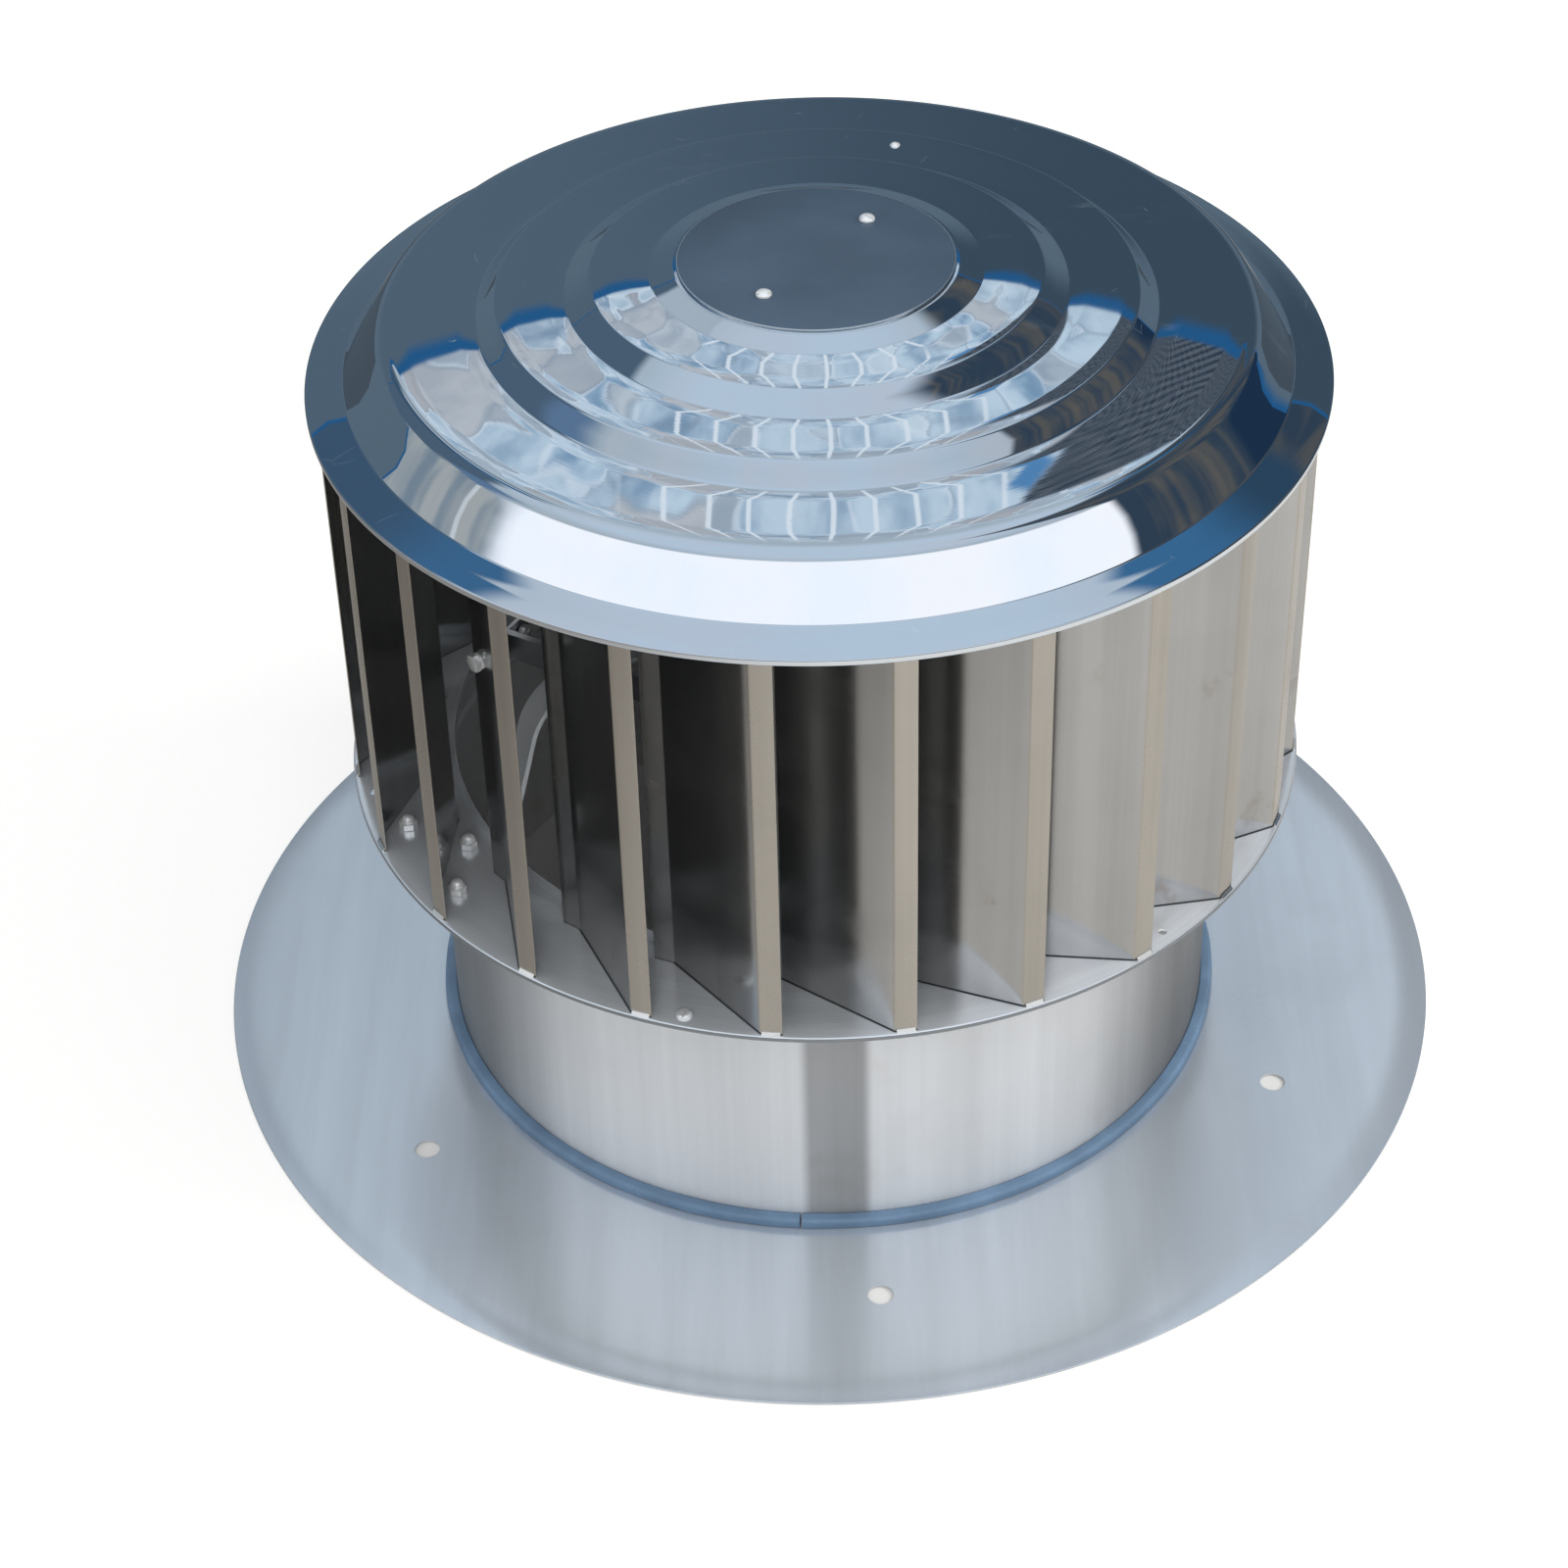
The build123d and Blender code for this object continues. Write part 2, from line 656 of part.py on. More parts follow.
def upper_spider():
    """The three flat bars over the top ring, welded to a plate under the upper housing."""
    bottom = top_ring_top
    top = upper_housing_bottom
    spider = tube(spider_hub_inner_radius, housing_flange_radius, bottom, top)
    start = (spider_hub_inner_radius + housing_flange_radius) / 2
    bar = Pos((start + upper_arm_end_radius) / 2, 0, (bottom + top) / 2) * Box(
        upper_arm_end_radius - start, arm_width, top - bottom)
    for piece in around(arm_count, upper_arm_azimuth, bar):
        spider += piece
    cuts = around(arm_count, upper_arm_azimuth,
                  drill(bolt_hole_radius, bottom, top, upper_arm_bolt_radius))
    for cut in cuts + housing_bolt_holes(upper_arm_azimuth, bottom, top):
        spider -= cut
    return spider


def arm_bolts():
    """Every bolt that holds an arm to a ring or to a housing."""
    feet = []
    for x, y in foot_bolt_spots:
        foot = Pos(x, y, 0) * bolt(arm_foot_bottom, lower_ring_height)
        feet += around(arm_count, lower_arm_azimuth, foot)
    rim = around(arm_count, upper_arm_azimuth,
                 Pos(upper_arm_bolt_radius, 0, 0) * bolt(top_ring_bottom, upper_housing_bottom))
    hubs = around(arm_count, lower_arm_azimuth, Pos(housing_bolt_radius, 0, 0) * bolt(
        lower_housing_bottom - arm_thickness, lower_housing_bottom + housing_flange_thickness))
    hubs += around(arm_count, upper_arm_azimuth, Pos(housing_bolt_radius, 0, 0) * bolt(
        top_ring_top, upper_housing_bottom + housing_flange_thickness))
    return feet + rim + hubs


def balance_screws():
    """Screws in every second balance hole of the lower ring."""
    one = Pos(balance_circle_radius, 0, 0) * screw(lower_ring_height, screw_reach)
    return around(balance_hole_count // 2, balance_first_azimuth, one)


def build():
    """Make every piece of the ventilator."""
    keep("base_flange", flange())
    keep("neck_tube", neck())
    keep("neck_seal", neck_seal())
    keep("neck_seam_strip", seam_strip())
    keep("neck_seam_rivets", *seam_rivets(rivet_radius, neck_inner_radius + fit,
                                          throat_radius + fit + seam_strip_thickness, rivet_head_height))
    keep("neck_bracket", bracket())
    keep("bracket_bolts", *bracket_bolts())
    keep("shaft", shaft())
    bearing_half = bearing_width / 2
    keep("lower_spacer", tube(shaft_radius + fit, spacer_radius, bracket_top,
                              lower_bearing_height - bearing_half))
    keep("upper_spacer", tube(shaft_radius + fit, spacer_radius, lower_bearing_height + bearing_half,
                              upper_bearing_height - bearing_half))
    keep("shaft_washer", tube(shaft_radius + fit, spacer_radius, locknut_bottom - washer_thickness,
                              locknut_bottom))
    keep("shaft_locknut", locknut())
    for place, height, bottom, azimuth in (
            ("lower", lower_bearing_height, lower_housing_bottom, lower_arm_azimuth),
            ("upper", upper_bearing_height, upper_housing_bottom, upper_arm_azimuth)):
        keep(place + "_inner_race", inner_race(height))
        keep(place + "_outer_race", outer_race(height))
        keep(place + "_balls", *balls(height))
        keep(place + "_cage", cage(height))
        body = housing(bottom)
        for cut in housing_bolt_holes(azimuth, bottom, bottom + housing_flange_thickness):
            body -= cut
        keep(place + "_housing", body)
    keep("lower_ring", lower_ring())
    keep("top_ring", top_ring())
    for number in range(1, vane_count + 1):
        keep("vane_%02d" % number, vane(number))
    for number, arm in enumerate(around(arm_count, lower_arm_azimuth, lower_arm())):
        keep("lower_arm_%d" % (number + 1), arm)
    keep("upper_spider", upper_spider())
    keep("arm_bolts", *arm_bolts())
    keep("balance_screws", *balance_screws())
    keep("balance_weight", balance_weight())
    keep("dome", dome())
    keep("dome_cap", dome_cap())
    cap_screw = Pos(cap_screw_radius, 0, 0) * screw(boss_height + cap_thickness, screw_reach)
    keep("cap_screws", *around(cap_screw_count, cap_screw_azimuth, cap_screw))
    keep("dome_rivet", dome_rivet())


def write():
    """Write one file for each node."""
    os.makedirs("parts", exist_ok=True)
    for name, pieces in parts.items():
        solids = [solid for piece in pieces for solid in piece.solids()]
        export_step(Compound(children=solids) if len(solids) > 1 else solids[0], "parts/%s.step" % name)
        print(name, len(solids), round(sum(solid.volume for solid in solids)))


build()
write()
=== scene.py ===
"""Roof turbine ventilator: a polished louvred rotor under a spun dome, on a flanged throat."""

import math

import bmesh
import bpy
from bpy.props import FloatProperty, FloatVectorProperty, IntProperty, PointerProperty
from mathutils import Matrix, Vector


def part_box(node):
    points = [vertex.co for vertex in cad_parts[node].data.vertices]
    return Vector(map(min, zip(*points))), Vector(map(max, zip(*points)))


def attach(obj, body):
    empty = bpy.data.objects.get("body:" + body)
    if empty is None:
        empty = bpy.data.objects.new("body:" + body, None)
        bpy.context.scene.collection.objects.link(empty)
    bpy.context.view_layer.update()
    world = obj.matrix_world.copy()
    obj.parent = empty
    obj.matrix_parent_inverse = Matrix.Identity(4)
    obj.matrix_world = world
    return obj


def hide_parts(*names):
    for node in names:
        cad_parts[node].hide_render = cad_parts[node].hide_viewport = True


bl_info = {
    "name": "Roof turbine ventilator",
    "version": (1, 0, 0),
    "blender": (4, 5, 0),
    "location": "3D View > Sidebar > Ventilator",
    "description": "Builds the sheets, fasteners and finishes of a wind-driven roof ventilator",
    "category": "Object",
}

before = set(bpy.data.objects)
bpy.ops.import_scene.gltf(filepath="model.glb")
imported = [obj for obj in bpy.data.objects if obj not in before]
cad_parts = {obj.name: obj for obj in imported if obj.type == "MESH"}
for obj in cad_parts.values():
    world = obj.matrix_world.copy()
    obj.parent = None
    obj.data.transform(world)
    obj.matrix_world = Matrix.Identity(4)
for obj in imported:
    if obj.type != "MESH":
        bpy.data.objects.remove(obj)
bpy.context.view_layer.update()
flange_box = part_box("base_flange")
dome_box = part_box("dome")

MM = 0.001
VANE_NODES = sorted(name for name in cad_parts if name.startswith("vane_"))

# Sizes that several pieces share, in metres, and an azimuth in degrees
CAP_SEAT = 67.7 * MM
RING_INNER, RING_OUTER, RING_SHEET = 237.2 * MM, 301.0 * MM, 1.2 * MM
BALANCE_RADIUS, BALANCE_AZIMUTH = 290.8 * MM, -16.8
FLATS = 10 * MM

VANE_ROWS = 19
FLOAT, INTEGER, VECTOR = "NodeSocketFloat", "NodeSocketInt", "NodeSocketVector"


# Settings

def length(label, millimetres, note):
    """A size that the user may change, kept in metres."""
    return FloatProperty(name=label, description=note, default=millimetres * MM, min=0.0,
                         precision=5, unit="LENGTH")


def turn(label, degrees, note):
    """An angle that the user may change."""
    return FloatProperty(name=label, description=note, default=math.radians(degrees), unit="ROTATION")


def tint(label, red, green, blue, note):
    """A colour that the user may change."""
    return FloatVectorProperty(name=label, description=note, default=(red, green, blue), size=3,
                               subtype="COLOR", min=0.0, max=2.0)


class VentilatorDome(bpy.types.PropertyGroup):
    """Sizes of the spun dome and its cap, heights counted from the top ring"""
    thickness: length("Sheet", 1.0, "Thickness of the dome's sheet")
    base: length("Base height", 472.0, "Height of the top ring's upper face")
    opening: length("Opening radius", 40.0, "Radius of the hole under the cap")
    bend: length("Bend radius", 3.0, "Radius of the bends between the steps")
    cap_radius: length("Cap radius", 81.9, "Radius of the round plate on top")
    cap_thickness: length("Cap thickness", 1.5, "Thickness of the round plate on top")
    rim_radius: FloatProperty(name="Rim radius", description="Outer radius of the hemmed rim",
                              default=dome_box[1].x, unit="LENGTH")


class VentilatorVanes(bpy.types.PropertyGroup):
    """Sizes of the folded vanes"""
    count: IntProperty(name="Vanes", description="Number of vanes", default=len(VANE_NODES), min=3)
    first: turn("First azimuth", 7.3, "Azimuth of the first vane's outer edge")
    sweep: turn("Sweep", 13.5, "How far the inner edge lies behind the outer edge")
    outer: length("Outer radius", 298.0, "Radius of the outer hem")
    inner: length("Inner radius", 250.0, "Radius of the inner hem")
    bottom: length("Bottom", 201.0, "Height of the vanes' lower ends")
    height: length("Height", 269.8, "Height of a vane")
    thickness: length("Sheet", 0.8, "Thickness of the vanes' sheet")
    hem: length("Hem", 13.0, "Width of the hem along each edge")
    tab_height: length("Tab height", 2.4, "Height of the welded tab at each end of a vane")
    tab_reach: length("Tab reach", 2.0, "How far a tab stands out from the hem")
    tab_width: length("Tab width", 11.0, "Width of a tab")
    waviness: length("Waviness", 0.5, "How far the sheet wanders from true")
    seed: IntProperty(name="Seed", description="Picks one set of uneven vanes", default=4)


class VentilatorThroat(bpy.types.PropertyGroup):
    """Sizes of the neck, its seal and the roof flange"""
    radius: length("Throat radius", 250.0, "Outer radius of the neck")
    wall: length("Neck wall", 1.2, "Thickness of the neck's sheet")
    height: length("Neck height", 188.0, "Height of the neck's upper edge")
    flange_radius: FloatProperty(name="Flange radius", description="Outer radius of the roof plate",
                                 default=flange_box[1].x, unit="LENGTH")
    flange_thickness: length("Flange thickness", 1.5, "Thickness of the roof plate")
    bolt_circle: length("Bolt circle", 630.0, "Diameter of the circle through the flange's holes")
    hole: length("Hole", 16.0, "Diameter of the flange's holes")
    first_hole: turn("First hole", 5.2, "Azimuth of the first hole")


class VentilatorFinish(bpy.types.PropertyGroup):
    """Colours of the metals and the seal"""
    dome: tint("Dome", 0.74, 0.79, 0.84, "Mirror-finish sheet of the dome")
    cap: tint("Cap", 0.060, 0.093, 0.135, "Slate film on the cap")
    vane: tint("Vanes", 0.44, 0.44, 0.435, "Polished sheet of the vanes")
    hem: tint("Hems", 0.44, 0.415, 0.375, "Warmer sheet of the vanes' outer hems")
    ring: tint("Rings", 0.91, 0.94, 0.975, "Polished sheet of the rings")
    neck: tint("Neck", 0.61, 0.61, 0.61, "Brushed sheet of the neck")
    flange: tint("Flange", 0.68, 0.735, 0.795, "Satin sheet of the flange")
    seal: tint("Seal", 0.10, 0.165, 0.25, "Seal round the foot of the neck")


class VentilatorStage(bpy.types.PropertyGroup):
    """Camera, floor and light"""
    lens: FloatProperty(name="Lens", description="Focal length in millimetres", default=81.464)
    distance: length("Distance", 1805.16, "How far in front of the axis the camera stands")
    height: length("Height", 1589.03, "Height of the camera")
    yaw: turn("Yaw", -0.848, "Turn of the camera about the vertical")
    pitch: turn("Pitch", 38.575, "How far the camera looks down")
    roll: turn("Roll", -1.4985, "Tilt of the camera about its own line of sight")
    floor: length("Floor", 14000.0, "Side of the square floor")


class VentilatorSettings(bpy.types.PropertyGroup):
    """All the settings of the ventilator"""
    dome: PointerProperty(type=VentilatorDome)
    vanes: PointerProperty(type=VentilatorVanes)
    throat: PointerProperty(type=VentilatorThroat)
    finish: PointerProperty(type=VentilatorFinish)
    stage: PointerProperty(type=VentilatorStage)


# Sections of bent sheet

def rounded(points, radii, steps=6, close=True):
    """A polyline with its corners rounded: every corner has a radius, nought for a sharp one."""
    count = len(points)
    result = []
    for index, (x, y) in enumerate(points):
        radius = radii[index]
        if radius <= 0 or (not close and index in (0, count - 1)):
            result.append((x, y))
            continue
        here = Vector((x, y))
        back = Vector(points[index - 1]) - here
        ahead = Vector(points[(index + 1) % count]) - here
        half = back.angle(ahead) / 2
        reach = min(radius / math.tan(half), back.length * 0.49, ahead.length * 0.49)
        radius = reach * math.tan(half)
        inwards = (back.normalized() + ahead.normalized()).normalized()
        centre = here + inwards * (radius / math.sin(half))
        start = here + back.normalized() * reach - centre
        end = here + ahead.normalized() * reach - centre
        swing = math.atan2(start.x * end.y - start.y * end.x, start.dot(end))
        for step in range(steps + 1):
            part = swing * step / steps
            cos, sin = math.cos(part), math.sin(part)
            result.append((centre.x + start.x * cos - start.y * sin,
                           centre.y + start.x * sin + start.y * cos))
    return result


def sheet_section(points, radii, thickness, steps=6):
    """The closed section of a bent sheet: the line given, and its copy one thickness to the right."""
    headings = [(Vector(b) - Vector(a)).normalized() for a, b in zip(points, points[1:])]
    copy, copy_radii = [], []
    for index, (x, y) in enumerate(points):
        before = headings[max(index - 1, 0)]
        after = headings[min(index, len(headings) - 1)]
        across = Vector((before.y + after.y, -before.x - after.x))
        across *= 2 * thickness / across.length_squared
        copy.append((x + across.x, y + across.y))
        if 0 < index < len(points) - 1:
            bend = before.x * after.y - before.y * after.x
            copy_radii.append(max(radii[index - 1] + math.copysign(thickness, bend), 0))
    edge = thickness * 0.2
    corners = [edge, *radii, edge, edge, *reversed(copy_radii), edge]
    return rounded(list(points) + copy[::-1], corners, steps)


def divided(points, longest, close=True):
    """A polyline with its long runs divided."""
    result = []
    ends = points[1:] + (points[:1] if close else [])
    for a, b in zip(points, ends):
        parts = max(1, math.ceil((Vector(b) - Vector(a)).length / longest))
        result += [tuple(p + (q - p) * k / parts for p, q in zip(a, b)) for k in range(parts)]
    return result if close else result + [points[-1]]


def azimuth_matrix(azimuth):
    """Turns a shape whose radius lies along +X to an azimuth, nought in front and growing to the right."""
    return Matrix.Rotation(azimuth - math.pi / 2, 4, "Z")


def in_metres(pairs):
    """Pairs of millimetres, in metres."""
    return [(a * MM, b * MM) for a, b in pairs]


# Meshes

def placed(name, data):
    """A new object for some data, in the scene."""
    item = bpy.data.objects.new(name, data)
    bpy.context.scene.collection.objects.link(item)
    return item


def mesh_object(name, vertices, faces):
    """A new object from plain vertices and faces, its faces turned outwards."""
    mesh = bpy.data.meshes.new(name)
    mesh.from_pydata(vertices, [], faces)
    tidy = bmesh.new()
    tidy.from_mesh(mesh)
    bmesh.ops.remove_doubles(tidy, verts=tidy.verts, dist=1e-7)
    bmesh.ops.recalc_face_normals(tidy, faces=tidy.faces)
    tidy.to_mesh(mesh)
    tidy.free()
    return placed(name, mesh)


def spun(name, section, segments=360, start=0.0, end=None):
    """A section of (radius, height) spun about the axis, closed or from one azimuth to another."""
    whole = end is None
    stations = segments if whole else segments + 1
    span = 2 * math.pi if whole else end - start
    vertices, faces = [], []
    for station in range(stations):
        angle = start + span * station / segments - math.pi / 2
        cos, sin = math.cos(angle), math.sin(angle)
        vertices += [(radius * cos, radius * sin, height) for radius, height in section]
    count = len(section)
    for station in range(segments):
        here, there = station * count, (station + 1) % stations * count
        for k in range(count):
            after = (k + 1) % count
            faces.append((here + k, here + after, there + after, there + k))
    if not whole:
        faces.append(tuple(range(count)))
        faces.append(tuple(range((stations - 1) * count, stations * count))[::-1])
    return mesh_object(name, vertices, faces)


def settled(piece):
    """The evaluated result of a piece's modifiers as its plain mesh, with the modifiers gone."""
    bpy.context.view_layer.update()
    evaluated = piece.evaluated_get(bpy.context.evaluated_depsgraph_get())
    mesh = bpy.data.meshes.new_from_object(evaluated)
    if not mesh.polygons:
        raise RuntimeError(piece.name + " came out empty")
    mesh.name = piece.name
    piece.modifiers.clear()
    if piece.type == "MESH":
        piece.data = mesh
        return piece
    name = piece.name
    bpy.data.objects.remove(piece)
    return placed(name, mesh)


def smoothed(piece, degrees=32):
    """Shade a piece smooth, with its edges kept sharp where it folds harder than the angle."""
    for polygon in piece.data.polygons:
        polygon.use_smooth = True
    piece.data.set_sharp_from_angle(angle=math.radians(degrees))
    return piece


def cut_by(piece, cutter):
    """Take a cutter's shape out of a piece, and the cutter out of the scene."""
    modifier = piece.modifiers.new("cut", "BOOLEAN")
    modifier.operation, modifier.solver, modifier.object = "DIFFERENCE", "EXACT", cutter
    piece = settled(piece)
    bpy.data.objects.remove(cutter)
    return piece


def pierced(piece, cutters):
    """Cut round holes into a piece: every cutter is (matrix, radius, half length)."""
    shape = bmesh.new()
    for matrix, radius, half in cutters:
        bmesh.ops.create_cone(shape, cap_ends=True, segments=40, radius1=radius, radius2=radius,
                              depth=2 * half, matrix=matrix)
    mesh = bpy.data.meshes.new("hole_cutters")
    shape.to_mesh(mesh)
    shape.free()
    return cut_by(piece, placed("hole_cutters", mesh))


def upright_holes(count, first, radius, height, hole_radius):
    """Cutters for a ring of upright holes."""
    places = []
    for index in range(count):
        turned = azimuth_matrix(first + 2 * math.pi * index / count)
        places.append((turned @ Matrix.Translation((radius, 0, height)), hole_radius, 8 * MM))
    return places


def finished(piece, body, material, slot, *nodes):
    """Give a piece its material and its body, and hide the nodes that it stands for; the slot argument is
    not used.
    """
    piece.data.materials.clear()
    piece.data.materials.append(material)
    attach(piece, body)
    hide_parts(*nodes)
    return piece


def corner_ring(shape, radius, height, count):
    """Corners round the Z axis at one height, or the one point on the axis."""
    if radius <= 0:
        return [shape.verts.new((0, 0, height))]
    angles = [2 * math.pi * k / count for k in range(count)]
    return [shape.verts.new((radius * math.cos(a), radius * math.sin(a), height)) for a in angles]


def revolve_into(shape, section, segments):
    """Add a small turned shape, from (radius, height) pairs that start and end on its axis."""
    rings = [corner_ring(shape, radius, height, segments) for radius, height in section]
    for low, high in zip(rings, rings[1:]):
        for k in range(segments):
            after = (k + 1) % segments
            corners = [low[k % len(low)], low[after % len(low)]]
            corners += [high[after % len(high)], high[k % len(high)]]
            corners = list(dict.fromkeys(corners))
            if len(corners) > 2:
                shape.faces.new(corners)


def hexagon_into(shape, bottom, top):
    """Add a bolt head or nut: six sides, with their corners chamfered at both ends."""
    half = FLATS / 2
    corner = half / math.cos(math.pi / 6)
    chamfer = (corner - half) * 0.54
    levels = ((half, bottom), (corner, bottom + chamfer), (corner, top - chamfer), (half, top))
    rings = [corner_ring(shape, radius, height, 6) for radius, height in levels]
    for low, high in zip(rings, rings[1:]):
        for k in range(6):
            shape.faces.new((low[k], low[(k + 1) % 6], high[(k + 1) % 6], high[k]))
    shape.faces.new(rings[0][::-1])
    shape.faces.new(rings[-1])


def prism_into(shape, section, low, high):
    """Add a prism: a section of (x, z) between two places along Y."""
    ends = [[shape.verts.new((x, y, z)) for x, z in section] for y in (low, high)]
    count = len(section)
    for k in range(count):
        after = (k + 1) % count
        shape.faces.new((ends[0][k], ends[0][after], ends[1][after], ends[1][k]))
    shape.faces.new(ends[0][::-1])
    shape.faces.new(ends[1])


def pattern_piece(name, shape):
    """A small pattern object from a bmesh, to be repeated by a node tree."""
    bmesh.ops.recalc_face_normals(shape, faces=shape.faces)
    mesh = bpy.data.meshes.new(name)
    shape.to_mesh(mesh)
    shape.free()
    return placed(name, mesh)


# Node helpers

class Nodes:
    """Short ways to add and join nodes in one tree."""

    def __init__(self, tree):
        self.tree = tree
        tree.nodes.clear()

    def add(self, kind, values=None, **settings):
        """Add a node, set its options, and feed its inputs with values or other sockets."""
        node = self.tree.nodes.new(kind)
        for name, value in settings.items():
            setattr(node, name, value)
        for name, value in (values or {}).items():
            socket = node.inputs[name]
            if isinstance(value, bpy.types.NodeSocket):
                self.tree.links.new(value, socket)
            else:
                socket.default_value = value
        return node

    def math(self, operation, first, second=0.0, third=0.0, clamp=False):
        """One arithmetic step."""
        return self.add("ShaderNodeMath", {0: first, 1: second, 2: third}, operation=operation,
                        use_clamp=clamp).outputs[0]

    def times(self, first, second):
        """The product of two values."""
        return self.math("MULTIPLY", first, second)

    def linear(self, value, factor, offset):
        """A value times a factor, plus an offset."""
        return self.math("MULTIPLY_ADD", value, factor, offset)

    def vector(self, operation, first, second=(0.0, 0.0, 0.0)):
        """One vector step."""
        node = self.add("ShaderNodeVectorMath", {0: first}, operation=operation)
        socket = node.inputs["Scale"] if operation == "SCALE" else node.inputs[1]
        if isinstance(second, bpy.types.NodeSocket):
            self.tree.links.new(second, socket)
        else:
            socket.default_value = second
        return node.outputs["Value" if operation in ("LENGTH", "DOT_PRODUCT") else "Vector"]

    def ramp(self, value, low, high, out_low=0.0, out_high=1.0):
        """A smooth rise between two values."""
        return self.add("ShaderNodeMapRange", {
            "Value": value, "From Min": low, "From Max": high, "To Min": out_low, "To Max": out_high,
        }, interpolation_type="SMOOTHSTEP").outputs["Result"]

    def fall(self, value, low, high):
        """A smooth drop from one to nought between two values."""
        return self.ramp(value, low, high, 1.0, 0.0)

    def within(self, value, low, high, soft):
        """A mask of the values between two limits, with soft edges."""
        above = self.ramp(value, low - soft, low + soft)
        return self.times(above, self.fall(value, high - soft, high + soft))

    def combine(self, x=0.0, y=0.0, z=0.0):
        """A vector from three values."""
        return self.add("ShaderNodeCombineXYZ", {0: x, 1: y, 2: z}).outputs[0]

    def group(self, tree, values):
        """A node group's outputs."""
        return self.add("ShaderNodeGroup", values, node_tree=tree).outputs

    def blend(self, factor, first, second):
        """Mix two colours."""
        node = self.add("ShaderNodeMix", {0: factor}, data_type="RGBA")
        for socket, value in ((node.inputs[6], first), (node.inputs[7], second)):
            if isinstance(value, bpy.types.NodeSocket):
                self.tree.links.new(value, socket)
            else:
                socket.default_value = (*value, 1.0)
        return node.outputs[2]

    def noise(self, vector, scale, detail=3.0, roughness=0.5, output="Fac"):
        """A smooth noise."""
        return self.add("ShaderNodeTexNoise", {
            "Vector": vector, "Scale": scale, "Detail": detail, "Roughness": roughness}).outputs[output]


def shader_group(name, inputs, outputs, fill):
    """A shader node group with named sockets, built once."""
    if name in bpy.data.node_groups:
        return bpy.data.node_groups[name]
    tree = bpy.data.node_groups.new(name, "ShaderNodeTree")
    for label, kind, default in inputs:
        socket = tree.interface.new_socket(name=label, in_out="INPUT", socket_type=kind)
        if default is not None:
            socket.default_value = default
    for label, kind in outputs:
        tree.interface.new_socket(name=label, in_out="OUTPUT", socket_type=kind)
    nodes = Nodes(tree)
    entry = nodes.add("NodeGroupInput")
    result = fill(nodes, entry.outputs)
    leave = nodes.add("NodeGroupOutput")
    for label, socket in result.items():
        tree.links.new(socket, leave.inputs[label])
    return tree


def brushing_group():
    """Fine grooves along one direction: the coordinates are stretched before they come in."""
    def fill(nodes, given):
        fine = nodes.noise(given["Stretched"], 1.0, 4.0, 0.65)
        broad = nodes.noise(given["Stretched"], 0.13, 2.0, 0.5)
        both = nodes.linear(broad, 0.6, nodes.times(fine, 0.4))
        return {"Grain": both, "Height": nodes.times(both, given["Depth"])}
    return shader_group("Brushing", [("Stretched", VECTOR, None), ("Depth", FLOAT, 1.0)],
                        [("Grain", FLOAT), ("Height", FLOAT)], fill)


def handling_group():
    """Smudges, wipe marks and a few fine scratches left by handling."""
    def fill(nodes, given):
        place = given["Position"]
        patch = nodes.noise(place, given["Size"], 4.0, 0.62)
        smudge = nodes.ramp(patch, 0.52, 0.72)
        warped = nodes.vector("ADD", place, nodes.vector(
            "SCALE", nodes.noise(place, 9.0, 2.0, 0.5, "Color"), 0.05))
        cells = nodes.add("ShaderNodeTexVoronoi", {"Vector": warped, "Scale": 38.0},
                          feature="DISTANCE_TO_EDGE")
        line = nodes.fall(cells.outputs["Distance"], 0.0, 0.007)
        chosen = nodes.ramp(nodes.noise(place, 43.0, 1.0), 0.66, 0.72)
        return {"Smudge": smudge, "Scratch": nodes.times(line, chosen)}
    return shader_group("Handling marks", [("Position", VECTOR, None), ("Size", FLOAT, 7.0)],
                        [("Smudge", FLOAT), ("Scratch", FLOAT)], fill)


def dust_group():
    """A thin uneven film of dust with small specks."""
    def fill(nodes, given):
        film = nodes.ramp(nodes.noise(given["Position"], 3.1, 5.0, 0.6), 0.35, 0.8)
        speck = nodes.ramp(nodes.noise(given["Position"], 420.0, 1.0), 0.7, 0.76)
        total = nodes.math("MAXIMUM", nodes.times(film, 0.4), speck)
        return {"Dust": nodes.times(total, given["Amount"])}
    return shader_group("Dust film", [("Position", VECTOR, None), ("Amount", FLOAT, 0.5)],
                        [("Dust", FLOAT)], fill)


def surface(name):
    """A new material: its nodes, its shader and the object coordinates."""
    material = bpy.data.materials.new(name)
    material.use_nodes = True
    nodes = Nodes(material.node_tree)
    shader = nodes.add("ShaderNodeBsdfPrincipled")
    leave = nodes.add("ShaderNodeOutputMaterial")
    material.node_tree.links.new(shader.outputs["BSDF"], leave.inputs["Surface"])
    place = nodes.add("ShaderNodeTexCoord").outputs["Object"]
    return material, nodes, shader, place


def join_up(nodes, shader, color=None, roughness=None, height=None, bump=0.0, step=0.001):
    """Feed a shader's colour, roughness and bump."""
    links = nodes.tree.links
    if color is not None:
        links.new(color, shader.inputs["Base Color"])
    if roughness is not None:
        links.new(roughness, shader.inputs["Roughness"])
    if height is not None:
        node = nodes.add("ShaderNodeBump", {"Height": height, "Strength": bump, "Distance": step})
        links.new(node.outputs["Normal"], shader.inputs["Normal"])


def polar(nodes, place):
    """Azimuth in radians, radius and height of a point about the axis."""
    split = nodes.add("ShaderNodeSeparateXYZ", {0: place}).outputs
    azimuth = nodes.math("ARCTAN2", split[1], split[0])
    flat = nodes.vector("MULTIPLY", place, (1.0, 1.0, 0.0))
    return azimuth, nodes.vector("LENGTH", flat), split[2]


